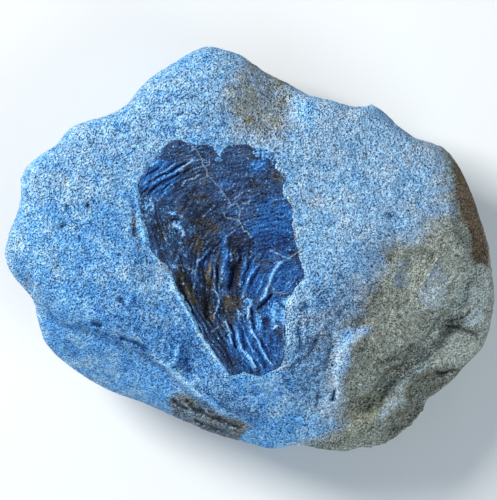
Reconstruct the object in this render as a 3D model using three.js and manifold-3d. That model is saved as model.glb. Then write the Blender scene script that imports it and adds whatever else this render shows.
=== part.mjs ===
/*
 * Fossil bivalve shell in a broken lump of fine sandstone.
 *
 * Two natural pieces, in millimetres, +Z up, with the origin under the middle of the stone:
 *   stone_matrix  the lump of rock, a loose stone with a worn top, broken ledges and a flattish foot
 *   fossil_shell  one dark, layered valve that lies in a hollow of the rock, hollow side up
 *
 * The stone is a stack of closed rings around its heart: each ring is the rim outline drawn in
 * towards the heart, and its height comes from a function of the place. The shell is lofted
 * through its own growth lines, from the outer margin in to the beak, with a step at each
 * main growth layer. The same loft, let out by a small gap, cuts the bed in the stone.
 */
import * as THREE from "three";
import { mergeVertices } from "three/addons/utils/BufferGeometryUtils.js";
import Module from "manifold-3d";

// ---------------------------------------------------------------- driving dimensions (mm)
const STONE_LENGTH = 100; // along X, at the widest
const STONE_WIDTH = 82.5; // along Y, at the widest
const CROWN_HEIGHT = 27.5; // top of the stone near its heart, above the table
const RIM_HEIGHT = 12.5; // mean height of the widest line round the stone
const FOOT_SHARE = 0.63; // size of the flat foot as a share of the rim outline
const SHELL_THICKNESS = 1.6; // fossil valve, with its steps
const SHELL_DEPTH = 5.2; // how far the valve's hollow sinks below its margin
const MARGIN_DROP = 0.7; // the valve's margin lies this far below the rock round it
const GAP = 0.3; // clearance between shell and bed
const GROWTH_STEPS = 10; // main growth layers, margin to beak
const STEP_HEIGHT = 0.45; // rise of one growth step

// ---------------------------------------------------------------- small helpers
const clamp01 = (t) => Math.min(1, Math.max(0, t));
const smooth = (from, to, value) => {
  const t = clamp01((value - from) / (to - from));
  return t * t * (3 - 2 * t);
};

// The lower of two heights, with the crease between them rounded over a band of width k.
const softMin = (a, b, k) => {
  const h = clamp01(0.5 + (0.5 * (b - a)) / k);
  return b + (a - b) * h - k * h * (1 - h);
};

// A round-shouldered bump of height 1 at its centre, gone at about twice its radii.
const blob = (x, y, [cx, cy], [rx, ry], turn = 0) => {
  const c = Math.cos(turn);
  const s = Math.sin(turn);
  const across = ((x - cx) * c + (y - cy) * s) / rx;
  const along = ((y - cy) * c - (x - cx) * s) / ry;
  return Math.exp(-(across * across + along * along));
};

// Distance from a point to a line of straight stretches. The sign is positive on the right of
// its course.
const offLine = (x, y, route) => {
  let best = Infinity;
  let sign = 1;
  for (let i = 0; i + 1 < route.length; i++) {
    const [ax, ay] = route[i];
    const [bx, by] = route[i + 1];
    const [dx, dy] = [bx - ax, by - ay];
    const t = clamp01(((x - ax) * dx + (y - ay) * dy) / (dx * dx + dy * dy));
    const [ox, oy] = [x - ax - dx * t, y - ay - dy * t];
    const off = Math.hypot(ox, oy);
    if (off < best) {
      best = off;
      sign = ox * dy - oy * dx >= 0 ? 1 : -1;
    }
  }
  return sign * best;
};

// A smooth, repeatable unevenness between about -1 and 1.
const uneven = (x, y, length) =>
  (Math.sin(x / length + 1.7 * Math.sin(y / (1.3 * length))) +
    Math.sin(y / length + 1.9 * Math.sin(x / (1.6 * length) + 2))) /
  2;

// ---------------------------------------------------------------- rim outline, seen from above
// Clockwise from the blunt left end. Knobs and nicks are where the rock broke.
const RIM = [
  [-50, 0], [-48.8, 4.5], [-46.9, 10], [-47.1, 14], [-45.3, 17.2], [-41.2, 20.2], [-39.7, 21],
  [-38, 23.5], [-35, 25.4], [-30.5, 27], [-25.1, 29.6], [-24.3, 31.2], [-20.6, 34.9],
  [-14.4, 38.4], [-12.8, 39.8], [-8.2, 41.2], [-4.9, 40.2], [-1, 38.8], [2.5, 36.1],
  [9.3, 32.5], [10.2, 31.6], [13.6, 30.6], [18.5, 29.7], [21.8, 28.7], [25, 29.5],
  [28.8, 26.2], [33.7, 22.5], [39.1, 20.7], [43.2, 16.2], [45.3, 11.8], [47.4, 5], [49, 0],
  [49.2, -4.2], [50, -7.5], [49.4, -14], [47.3, -20.3], [43.6, -23.8], [39.1, -28.7],
  [36, -30.8], [34.5, -34], [31.3, -37], [27.8, -39.6], [18.5, -41.2], [12, -40.4],
  [8.8, -40.1], [4.5, -41.2], [-1.4, -39.8], [-10.3, -36.9], [-22.2, -31.4], [-29.5, -28.7],
  [-37, -24], [-42.4, -18.8], [-44.2, -11.4], [-45.2, -9.8], [-49, -5.2], [-50, -2.6],
];
const SAMPLES_PER_SPAN = 2;

function rimOutline() {
  const points = RIM.map(([x, y]) => new THREE.Vector3(x, y, 0));
  const curve = new THREE.CatmullRomCurve3(points, true, "centripetal");
  const count = RIM.length * SAMPLES_PER_SPAN;
  const outline = Array.from({ length: count }, (_, i) => curve.getPoint(i / count));
  const box = new THREE.Box3().setFromPoints(outline);
  const size = box.getSize(new THREE.Vector3());
  const middle = box.getCenter(new THREE.Vector3());
  return outline.map((p) => [
    ((p.x - middle.x) * STONE_LENGTH) / size.x,
    ((p.y - middle.y) * STONE_WIDTH) / size.y,
  ]);
}

// ---------------------------------------------------------------- top of the stone
// Crest between the worn top and the long bevel on the lower left.
const BEVEL_CREST = [
  [-46, -5], [-41, -8.6], [-38.5, -10.8], [-30.8, -14.7], [-21.9, -18.7], [-15.8, -24], [-7.7, -30.9],
  [0, -33.6], [12, -36.5],
];
// Lip where thick layers have broken away along the right and the lower right, from the top down.
const BROKEN_LIP = [
  [40, 18.3], [40.4, 12.1], [40.8, 7], [40.2, 3.2], [42.4, 0.3], [43.3, -3], [40.6, -6], [40.2, -10.3],
  [38, -12.8], [36.1, -15], [34.9, -17.2], [32.4, -19.1], [31, -21.3], [27.1, -23.8], [24.3, -26.6],
  [20.2, -29.7], [17.8, -31.3], [14.3, -34.8],
];
// Crack under the knob at the right-hand end.
const KNOB_CRACK = [[38.6, -14.8], [42.7, -15.8], [46, -16.4], [48.5, -17.5]];
// Upper edge of the steep broken face at the lower right, from the right-hand end round to the foot.
const STEEP_EDGE = [
  [46, -22.8], [42.7, -24], [36.5, -24.2], [33.7, -25.8], [31.2, -27.9], [31.6, -30.5], [28.6, -33.2],
  [26.5, -35.4], [23.3, -39.7],
];
const GULLY = [[9.8, 34], [7.2, 31], [6.2, 27], [4.6, 23]];
const LAYER = 1.5; // thickness of the bedding layers that show as ledges

// The rock before anything is broken off: a low dome with a raised lobe at the back.
function crown(x, y) {
  const dome = 3.2 * ((x / 50) ** 2 + (y / 41) ** 2);
  const lobe = 1.6 * blob(x, y, [-9, 30], [11, 14]);
  return CROWN_HEIGHT - dome + lobe;
}

// Heights rounded towards whole layers, so that a slope breaks into ledges.
function ledged(z) {
  const layers = z / LAYER;
  const whole = Math.floor(layers);
  return (whole + smooth(0.25, 0.9, layers - whole)) * LAYER;
}

function stoneTop(x, y) {
  let z = crown(x, y) + 0.35 * uneven(x, y, 4.1);
  // The long, fairly even bevel on the lower left, with a shallow valley inside its crest.
  const bevel = offLine(x, y, BEVEL_CREST);
  z -= 1.1 * Math.exp(-(((bevel + 4) / 4) ** 2)) * smooth(-44, -30, x);
  z = softMin(z, 24.6 - 0.035 * (x + 30) - 0.74 * bevel, 0.7);
  // The worn slope towards the lip, streaked along the bedding, then the drop at the lip itself.
  const lip = -offLine(x, y, BROKEN_LIP);
  const lower = smooth(-3, -16, y);
  z -= 2.2 * smooth(16, 0, -lip) * lower;
  const facet = 23.6 - 0.72 * Math.max(0, lip);
  const terrace = ledged(20.6 - 0.22 * Math.max(0, lip) + 0.3 * uneven(x, y, 2.6));
  const fallen = THREE.MathUtils.lerp(facet, terrace, lower);
  z = Math.min(z, THREE.MathUtils.lerp(z, fallen, smooth(-0.8, 2, lip)));
  // The knob at the right-hand end keeps its layer, above the crack.
  const knob = offLine(x, y, KNOB_CRACK);
  const kept = smooth(0.4, -1.6, knob) * smooth(1, 4, lip) * smooth(-1, -5, y);
  z += 2.2 * kept * smooth(12, 7, Math.hypot(x - 46, y + 9));
  z -= 0.7 * Math.exp(-((knob / 1.4) ** 2)) * smooth(0.5, 3, lip);
  // The steep face below the last ledge.
  z = softMin(z, 17.6 + 1.1 * offLine(x, y, STEEP_EDGE), 1);
  // Gully between the lobe and the right-hand shoulder.
  const gully = offLine(x, y, GULLY);
  z -= 3.4 * Math.exp(-((gully / (gully > 0 ? 6.5 : 2.6)) ** 2)) * smooth(20, 30, y);
  // Hollows and swellings of the worn top.
  z -= 1.5 * blob(x, y, [31.8, -4.4], [4, 4.8], -0.5); // the larger scooped scar
  z -= 1.0 * blob(x, y, [38.4, -4], [2.6, 3.2], -0.4); // the smaller one
  z -= 1.2 * blob(x, y, [26, -1.6], [2.8, 2]); // pit at the scar's end
  z += 1.0 * blob(x, y, [19.5, -0.5], [3.2, 6.5], -0.25);
  z -= 1.1 * blob(x, y, [21.6, -14.3], [2.2, 1.6]);
  z += 1.1 * blob(x, y, [18.6, -20.5], [1.6, 7], -0.3); // long rib of rock
  z -= 0.8 * blob(x, y, [13.4, -31], [1, 3], 0.15);
  z -= 0.9 * blob(x, y, [-12.1, -23.6], [3, 3.2]); // hollow inside the bevel's crest
  z -= 0.9 * blob(x, y, [-46.5, -7], [3.2, 2.6], 0.7); // chipped left end
  z -= 1.0 * blob(x, y, [-11.5, -33.6], [5, 2], -0.4);
  z -= 0.8 * blob(x, y, [-36.8, 3.9], [1.9, 1.7]);
  return z;
}

// ---------------------------------------------------------------- the stone as rings
const HEART = [-6, -2]; // the rings close in on this point, inside the shell's bed
const TOP_RINGS = [
  0.3, 0.4, 0.46, 0.51, 0.55, 0.59, 0.63, 0.67, 0.705, 0.74, 0.775, 0.81, 0.845, 0.875, 0.905, 0.93,
  0.952, 0.972, 0.988,
];
const FOOT_RINGS = [0.985, 0.95, 0.88, 0.78];
const ROUNDED = 14; // how often neighbouring rim points are averaged, well away from the rim
// How square the top's shoulder is, by direction from the heart in degrees: blunt at the worn
// left end, square above the long sides.
const SHOULDERS = [
  [-180, 8], [-140, 14], [-90, 20], [-30, 24], [30, 24], [75, 12], [110, 16], [150, 22], [180, 8],
];

function alongTable(table, at) {
  const i = table.findIndex(([key]) => key >= at);
  if (i < 1) return table[0][1];
  const [[k0, v0], [k1, v1]] = [table[i - 1], table[i]];
  return v0 + ((v1 - v0) * (at - k0)) / (k1 - k0);
}

// The outline with its knobs and nicks worn away.
function wornOutline(outline) {
  let worn = outline;
  for (let pass = 0; pass < ROUNDED; pass++) {
    worn = worn.map(([x, y], i) => {
      const [ax, ay] = worn[(i + worn.length - 1) % worn.length];
      const [bx, by] = worn[(i + 1) % worn.length];
      return [(ax + 2 * x + bx) / 4, (ay + 2 * y + by) / 4];
    });
  }
  return worn;
}

function stoneGeometry(outline) {
  const worn = wornOutline(outline);
  const rings = [];
  // Every ring is the outline drawn in to that share of its reach. Nicks fade out at that rate.
  const ring = (share, fading, height) => {
    const fade = clamp01((1 - share) * fading);
    rings.push(outline.map(([px, py], i) => {
      const [wx, wy] = worn[i];
      const x = HEART[0] + (px + (wx - px) * fade - HEART[0]) * share;
      const y = HEART[1] + (py + (wy - py) * fade - HEART[1]) * share;
      return [x, y, height(x, y, wx, wy)];
    }));
  };
  const rimHeight = (wx, wy) => RIM_HEIGHT + 1.5 * uneven(wx, wy, 13) + 1.6 * uneven(wx, wy, 4.3);

  for (const share of TOP_RINGS) {
    ring(share, 4, (x, y, wx, wy) => {
      const edge = rimHeight(wx, wy);
      const direction = THREE.MathUtils.radToDeg(Math.atan2(wy - HEART[1], wx - HEART[0]));
      const rise = Math.sqrt(1 - share ** alongTable(SHOULDERS, direction));
      return edge + (stoneTop(x, y) - edge) * rise;
    });
  }
  ring(1, 0, (x, y, wx, wy) => rimHeight(wx, wy));
  for (const share of FOOT_RINGS) {
    ring(share, 6, (x, y, wx, wy) => {
      const out = (share - FOOT_SHARE) / (1 - FOOT_SHARE);
      const tuck = 1 - (1 - out ** 2.2) ** 0.62;
      return rimHeight(wx, wy) * tuck + 0.8 * (1 - out) * out * (1 + uneven(wx, wy, 7));
    });
  }
  ring(FOOT_SHARE, 6, () => 0);

  const count = outline.length;
  const positions = [HEART[0], HEART[1], stoneTop(...HEART)];
  for (const points of rings) for (const p of points) positions.push(...p);
  positions.push(HEART[0], HEART[1], 0);
  const last = positions.length / 3 - 1;
  const at = (r, i) => 1 + r * count + (i % count);
  const faces = [];
  for (let i = 0; i < count; i++) {
    faces.push(0, at(0, i + 1), at(0, i));
    for (let r = 0; r + 1 < rings.length; r++) {
      faces.push(at(r, i), at(r, i + 1), at(r + 1, i + 1));
      faces.push(at(r, i), at(r + 1, i + 1), at(r + 1, i));
    }
    faces.push(last, at(rings.length - 1, i), at(rings.length - 1, i + 1));
  }
  return indexed(positions, faces);
}

function indexed(positions, faces) {
  const geometry = new THREE.BufferGeometry();
  geometry.setAttribute("position", new THREE.Float32BufferAttribute(positions, 3));
  geometry.setIndex(faces);
  return geometry;
}

// Flat breaks on the flanks: [direction seen from above, lean under the rim, both in degrees,
// and how far in from the widest point, in mm]. Each takes off all that lies beyond one plane.
const FLANK_BREAKS = [
  [-158, 46, 1.2],
  [-112, 52, 0.8],
  [-64, 40, 0.3],
  [-20, 48, 0.6],
  [22, 38, 0.8],
  [66, 44, 2.2],
  [124, 40, 0.6],
  [170, 50, 1.4],
];
const BREAK_TOP = RIM_HEIGHT - 3.2; // the planes meet the widest line's reach at this height

function flankBreak(outline, [direction, lean, inset]) {
  const angle = THREE.MathUtils.degToRad(direction);
  const reaches = outline.map(
    ([x, y]) => (x - HEART[0]) * Math.cos(angle) + (y - HEART[1]) * Math.sin(angle)
  );
  const side = 160;
  const block = new THREE.BoxGeometry(side, side, side);
  block.translate(side / 2, 0, 0);
  block.rotateY(THREE.MathUtils.degToRad(lean));
  block.translate(Math.max(...reaches) - inset, 0, BREAK_TOP);
  block.rotateZ(angle);
  block.translate(HEART[0], HEART[1], 0);
  return solid(block);
}

// ---------------------------------------------------------------- the shell
// Growth lines from the outer margin in to the beak. Each runs from the right-hand edge, round
// the left side, down to the lower edge.
const GROWTH_LINES = [
  [
    [4.7, 18.7], [2.4, 19.9], [0, 21], [-2.6, 21.4], [-4.9, 20.7], [-6.3, 18.9], [-7.7, 20.7],
    [-9.5, 21], [-11.7, 21.4], [-14.2, 21.8], [-16.2, 20.7], [-17.2, 18.9], [-20.2, 15.9],
    [-22.1, 12.4], [-21.9, 9], [-21.7, 6.4], [-20.4, 4.3], [-20, 1.5], [-18.8, -1.3],
    [-15.8, -3.5], [-15, -6.2], [-12.1, -11.8], [-8.5, -18.5], [-3.8, -25],
  ],
  [
    [5.3, 16.9], [0, 18.1], [-5.7, 17.1], [-10.9, 17.5], [-15, 15.7], [-18.6, 12], [-19.6, 8.4],
    [-18.6, 4.4], [-17.4, 0.5], [-15.2, -2.5], [-13.8, -6.2], [-10.9, -11.6], [-7.3, -18.3],
    [-2.6, -24.8],
  ],
  [
    [6.3, 14.5], [1, 15.1], [-4.5, 14.1], [-9.1, 12.4], [-13, 10], [-15.4, 6.4], [-15.8, 2.3],
    [-14.6, -1.3], [-13, -5.2], [-10.5, -10.6], [-7.3, -16.3], [-1.8, -24.8],
  ],
  [
    [7.1, 11], [2.4, 10.8], [-2.4, 9.6], [-6.9, 7.6], [-10.5, 4.8], [-13, 1.3], [-13.4, -2.1],
    [-12.1, -5.8], [-10.1, -10.2], [-6.9, -15.9], [-1, -24.6],
  ],
  [
    [7.9, 7.6], [3.2, 7.4], [-1, 6.2], [-4.9, 3.9], [-7.7, 1.1], [-9.7, -1.7], [-10.3, -5],
    [-9.5, -8.6], [-7.7, -13.1], [-4.5, -18.7], [0, -24.8],
  ],
  [
    [8.3, 4.8], [4, 4.6], [0.2, 3.3], [-2.6, 1.3], [-4.7, -1.3], [-5.9, -4.8], [-6.3, -8.6],
    [-5.9, -12.7], [-3.6, -17.7], [1, -25.2],
  ],
  [
    [8.9, 1.5], [5.3, 1.3], [2, 0.1], [-0.4, -1.9], [-2, -4.8], [-2.8, -8.2], [-2.4, -12.2],
    [-0.8, -17.3], [2.4, -25.4],
  ],
  [
    [9.7, -1.5], [6.7, -2.1], [3.6, -3.3], [1.4, -5.4], [0, -8], [-0.2, -11], [0.8, -15.3],
    [2.4, -19.3], [4, -24.4],
  ],
  [
    [10.3, -3.5], [8.1, -3.5], [5.9, -4.8], [4.5, -6.6], [3.6, -8.8], [3.2, -11.8], [3.4, -15.9],
    [4.3, -19.9], [5.5, -23.6],
  ],
  [[10.9, -5.6], [9.5, -7], [8.1, -9], [7.1, -11.4], [6.9, -14.7], [6.9, -18.3], [6.3, -22.6]],
];
const ALONG = 20; // divisions along a growth line
const HOLLOW = { heart: [-6.2, -8], turn: 0.53, left: 7.5, right: 11.5, up: 20, down: 16.5 };

// Depth of the valve's hollow, 0 at its edge and 1 at the bottom: steep on the lower left and
// gentle on the right.
function hollow(x, y) {
  const [dx, dy] = [x - HOLLOW.heart[0], y - HOLLOW.heart[1]];
  const across = dx * Math.cos(HOLLOW.turn) + dy * Math.sin(HOLLOW.turn);
  const along = dy * Math.cos(HOLLOW.turn) - dx * Math.sin(HOLLOW.turn);
  const a = across / (across > 0 ? HOLLOW.right : HOLLOW.left);
  const b = along / (along > 0 ? HOLLOW.up : HOLLOW.down);
  return Math.exp(-(a * a + b * b));
}

// One growth step: a slow rise across the layer and a quick fall at its edge, from 0 to 1 and back.
const STEP_PLACES = [0, 0.5, 0.88];
const STEP_PROFILE = [0, 0.55, 1];

function shellBody(outset, coverTo) {
  const lines = GROWTH_LINES.map((line) =>
    new THREE.CatmullRomCurve3(line.map(([x, y]) => new THREE.Vector3(x, y, 0)), false, "centripetal"));
  const across = [];
  for (let step = 0; step < GROWTH_STEPS; step++) {
    STEP_PLACES.forEach((place, i) => across.push([(step + place) / GROWTH_STEPS, STEP_PROFILE[i]]));
  }
  across.push([1, 0]);

  const columns = across.length;
  const grid = [];
  for (let i = 0; i <= ALONG; i++) {
    const u = i / ALONG;
    const rung = new THREE.CatmullRomCurve3(lines.map((line) => line.getPointAt(u)), false, "centripetal");
    for (const [v, rise] of across) {
      const p = rung.getPoint(v);
      // Steps are low over the flat upper half and stand up as ribs towards the lower edge.
      const strength = 0.7 + 0.9 * smooth(0.7, 0.9, u);
      const bed = crown(p.x, p.y) - MARGIN_DROP - SHELL_DEPTH * hollow(p.x, p.y);
      grid.push({ x: p.x, y: p.y, top: bed + STEP_HEIGHT * strength * (rise - 0.5), bed });
    }
  }
  const at = (i, k) => i * columns + k;
  letOut(grid, columns, outset);

  const sheet = grid.length;
  const positions = [];
  for (const g of grid) positions.push(g.x, g.y, coverTo ?? g.top);
  for (const g of grid) positions.push(g.x, g.y, g.bed - SHELL_THICKNESS - outset);
  const faces = [];
  const quad = (a, b, c, d) => faces.push(a, b, c, a, c, d);
  for (let i = 0; i < ALONG; i++) {
    for (let k = 0; k + 1 < columns; k++) {
      const corners = [at(i, k), at(i + 1, k), at(i + 1, k + 1), at(i, k + 1)];
      quad(...corners);
      quad(...corners.reverse().map((c) => c + sheet));
    }
  }
  const rim = edgeLoop(columns);
  rim.forEach((a, n) => {
    const b = rim[(n + 1) % rim.length];
    quad(b, a, a + sheet, b + sheet);
  });
  return indexed(positions, faces);
}

// The grid's outer vertices in order, anticlockwise seen from above.
function edgeLoop(columns) {
  const at = (i, k) => i * columns + k;
  const loop = [];
  for (let i = 0; i < ALONG; i++) loop.push(at(i, 0));
  for (let k = 0; k < columns - 1; k++) loop.push(at(ALONG, k));
  for (let i = ALONG; i > 0; i--) loop.push(at(i, columns - 1));
  for (let k = columns - 1; k > 0; k--) loop.push(at(0, k));
  return loop;
}

// Moves the grid's outer vertices straight outwards by that distance.
function letOut(grid, columns, distance) {
  const rim = edgeLoop(columns);
  const moved = rim.map((here, n) => {
    const before = grid[rim[(n + rim.length - 1) % rim.length]];
    const after = grid[rim[(n + 1) % rim.length]];
    const [dx, dy] = [after.x - before.x, after.y - before.y];
    const length = Math.hypot(dx, dy) || 1;
    return { here, x: grid[here].x + (dy / length) * distance, y: grid[here].y - (dx / length) * distance };
  });
  for (const { here, x, y } of moved) Object.assign(grid[here], { x, y });
}

// ---------------------------------------------------------------- solids
const wasm = await Module();
wasm.setup();

function solid(geometry) {
  geometry.deleteAttribute("normal").deleteAttribute("uv");
  const merged = mergeVertices(geometry);
  return new wasm.Manifold(new wasm.Mesh({
    numProp: 3,
    vertProperties: merged.attributes.position.array,
    triVerts: new Uint32Array(merged.index.array),
  }));
}

function geometryOf(body) {
  const mesh = body.getMesh();
  return indexed(mesh.vertProperties, [...mesh.triVerts]);
}

function piece(name, geometry, look) {
  const mesh = new THREE.Mesh(geometry, new THREE.MeshStandardMaterial(look));
  mesh.geometry.computeVertexNormals();
  mesh.name = name;
  return mesh;
}

const ABOVE_STONE = CROWN_HEIGHT + 10;
const bedCutter = solid(shellBody(GAP, ABOVE_STONE));
const outline = rimOutline();
let lump = solid(stoneGeometry(outline));
for (const plane of FLANK_BREAKS) lump = lump.subtract(flankBreak(outline, plane));
const matrix = lump.subtract(bedCutter);

const fossil = new THREE.Group();
fossil.add(piece("stone_matrix", geometryOf(matrix), { color: 0x71a4cc, roughness: 0.95, metalness: 0 }));
fossil.add(piece("fossil_shell", shellBody(0), { color: 0x2c4f7d, roughness: 0.5, metalness: 0 }));

export default fossil;
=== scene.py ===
# %% [markdown]
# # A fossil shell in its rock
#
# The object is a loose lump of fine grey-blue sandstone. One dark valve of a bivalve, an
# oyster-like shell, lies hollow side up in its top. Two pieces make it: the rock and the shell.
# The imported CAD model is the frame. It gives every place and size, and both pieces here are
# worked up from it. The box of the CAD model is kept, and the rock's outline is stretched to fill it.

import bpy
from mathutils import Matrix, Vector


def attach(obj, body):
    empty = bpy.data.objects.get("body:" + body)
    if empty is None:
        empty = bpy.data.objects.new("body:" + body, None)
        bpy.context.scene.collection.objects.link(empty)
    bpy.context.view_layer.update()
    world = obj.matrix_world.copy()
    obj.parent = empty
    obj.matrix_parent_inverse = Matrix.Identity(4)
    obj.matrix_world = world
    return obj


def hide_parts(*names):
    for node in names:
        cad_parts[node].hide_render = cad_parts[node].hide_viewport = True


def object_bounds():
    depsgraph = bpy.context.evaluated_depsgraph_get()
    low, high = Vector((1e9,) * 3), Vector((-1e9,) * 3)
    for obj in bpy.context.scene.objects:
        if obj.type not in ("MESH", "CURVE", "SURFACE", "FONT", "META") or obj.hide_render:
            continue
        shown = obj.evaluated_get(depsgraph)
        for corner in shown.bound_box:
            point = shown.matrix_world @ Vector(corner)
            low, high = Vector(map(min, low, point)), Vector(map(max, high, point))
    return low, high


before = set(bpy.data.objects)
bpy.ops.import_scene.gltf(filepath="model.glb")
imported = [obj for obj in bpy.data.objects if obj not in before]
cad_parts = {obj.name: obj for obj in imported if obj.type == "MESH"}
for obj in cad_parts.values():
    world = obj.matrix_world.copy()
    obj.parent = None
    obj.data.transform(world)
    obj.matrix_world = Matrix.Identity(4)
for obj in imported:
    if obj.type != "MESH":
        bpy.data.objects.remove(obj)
cad_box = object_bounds()
print("CAD box in mm:", [[round(c * 1000, 1) for c in corner] for corner in cad_box])

# %% [markdown]
# ## Helpers for operators and vertices
#
# Operators act on everything that is selected, so each step starts by selecting one piece
# alone. Sculpting in code works on all vertices at once, as an array of places in millimetres,
# which keeps the numbers readable beside the real object.

# %% Selecting, reading and moving vertices
import math

import bpy
import numpy as np
from mathutils import Vector
from mathutils.bvhtree import BVHTree

MM = 0.001


def only(piece):
    """Select that piece and nothing else, in object mode."""
    if bpy.context.mode != "OBJECT":
        bpy.ops.object.mode_set(mode="OBJECT")
    bpy.ops.object.select_all(action="DESELECT")
    piece.select_set(True)
    bpy.context.view_layer.objects.active = piece


def places(piece):
    """The piece's vertices as an array of places in mm."""
    flat = np.empty(len(piece.data.vertices) * 3, np.float32)
    piece.data.vertices.foreach_get("co", flat)
    return flat.reshape(-1, 3).astype(float) / MM


def put(piece, where):
    """Move the piece's vertices to those places in mm."""
    piece.data.vertices.foreach_set("co", (where * MM).astype(np.float32).ravel())
    piece.data.update()


def facing(piece):
    """The direction in which the surface looks at each vertex."""
    flat = np.empty(len(piece.data.vertices) * 3, np.float32)
    piece.data.vertices.foreach_get("normal", flat)
    return flat.reshape(-1, 3).astype(float)


def finish_modifier(piece, kind, **settings):
    """Add a modifier with those settings and apply it."""
    only(piece)
    modifier = piece.modifiers.new(kind, kind)
    for name, value in settings.items():
        setattr(modifier, name, value)
    bpy.ops.object.modifier_apply(modifier=modifier.name)


def triangles(piece):
    return sum(len(face.vertices) - 2 for face in piece.data.polygons)


def mark(piece, name, values):
    """Store one number a vertex, for the material to read as an attribute."""
    layer = piece.data.attributes.new(name, "FLOAT", "POINT")
    layer.data.foreach_set("value", np.asarray(values, np.float32))


# %% [markdown]
# ## Shapes as formulas
#
# Rock and shell are full of soft steps, grooves along a line and small dents. Four formulas
# cover them: a soft step, a round dent, the distance to a drawn line, and a smooth unevenness
# that is the same at every run. Ridges, ledges and ragged courses are put together from these.

# %% Formulas for relief
def soft_step(start, end, value):
    t = np.clip((value - start) / (end - start), 0, 1)
    return t * t * (3 - 2 * t)


def dent(where, centre, radii, turn=0.0):
    """1 in the middle of a round spot in plan, fading to 0 at about twice its radii."""
    dx, dy = where[:, 0] - centre[0], where[:, 1] - centre[1]
    across = (dx * math.cos(turn) + dy * math.sin(turn)) / radii[0]
    along = (dy * math.cos(turn) - dx * math.sin(turn)) / radii[1]
    return np.exp(-(across**2) - along**2)


def off_line(where, route):
    """Distance in plan to a drawn line: plus on the right of its course, minus on the left.
    Also how far along its course the nearest point lies, from 0 to 1."""
    best = np.full(len(where), np.inf)
    side = np.ones(len(where))
    share = np.zeros(len(where))
    spots = where[:, :2]
    stretches = np.diff(np.asarray(route, float), axis=0)
    lengths = np.linalg.norm(stretches, axis=1)
    travelled = np.concatenate([[0], np.cumsum(lengths)])
    for i, (start, run) in enumerate(zip(route, stretches)):
        offset = spots - start
        t = np.clip(offset @ run / (run @ run), 0, 1)
        off = offset - t[:, None] * run
        distance = np.hypot(off[:, 0], off[:, 1])
        nearer = distance < best
        best = np.where(nearer, distance, best)
        right = off[:, 0] * run[1] - off[:, 1] * run[0] >= 0
        side = np.where(nearer, np.where(right, 1, -1), side)
        share = np.where(nearer, (travelled[i] + t * lengths[i]) / travelled[-1], share)
    return best * side, share


def faded_ends(share, fade=0.12):
    """1 along a drawn line, fading to 0 over that share of its course at both ends."""
    return soft_step(0, fade, share) * soft_step(0, fade, 1 - share)


def ridge(where, route, width):
    """1 on a drawn line, fading out to its sides and towards its two ends."""
    distance, share = off_line(where, route)
    return np.exp(-((distance / width) ** 2)) * faded_ends(share, 0.15)


def ledge(distance, share, height, face, reach):
    """A step down on the right of a drawn line, which levels out again further off."""
    fall = soft_step(0, face, distance) * soft_step(reach, face, distance)
    lip = 0.12 * np.exp(-((distance / 0.8) ** 2)) * (distance < 0)
    return height * faded_ends(share) * (lip - fall)


TILT = np.array([[0.80, 0.48, 0.36], [-0.60, 0.64, 0.48], [0.0, -0.60, 0.80]])


def lumps(where, size, seed=0):
    """Smooth unevenness from -1 to 1, with lumps about that many mm across."""
    spot = where @ TILT / size + 19.7 * seed
    cell = np.floor(spot).astype(np.int64)
    inside = spot - cell
    ease = inside**3 * (inside * (inside * 6 - 15) + 10)
    total = np.zeros(len(where))
    for corner in np.ndindex(2, 2, 2):
        x, y, z = (cell + corner).T
        mixed = (x * 374761393 + y * 668265263 + z * 1103515245 + seed * 12345) & 0xFFFFFFFF
        mixed = ((mixed ^ (mixed >> 13)) * 1274126177) & 0xFFFFFFFF
        height = ((mixed ^ (mixed >> 16)) & 0xFFFF) / 32767.5 - 1
        total += height * np.prod(np.where(corner, ease, 1 - ease), axis=1)
    return total


def rough(where, size, seed=0, octaves=3):
    """Lumps with finer lumps on them, each octave half as large."""
    layers = [lumps(where, size / 2**k, seed + k) / 2**k for k in range(octaves)]
    return sum(layers) * 1.3 / (2 - 0.5 ** (octaves - 1))


def sway(where, size, seeds, unevenness=lumps):
    """A wander sideways in plan, which gives drawn lines a ragged course."""
    aside = [unevenness(where, size, seed) for seed in seeds]
    return np.column_stack([*aside, np.zeros(len(where))])


# %% [markdown]
# ## The shell: a loft through growth lines
#
# A valve grows by adding layers at its margin, so its surface is a family of nested C-shaped
# lines that run together at the beak. The piece starts as a flat grid. One side of the grid is
# the direction along a growth line and the other is the way from the margin in to the beak, so
# its UV map is a map of growth, and both the layers and the fine streaks can follow it. The
# grid is then laid through the growth lines by code, because no operator lofts a surface.

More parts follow.
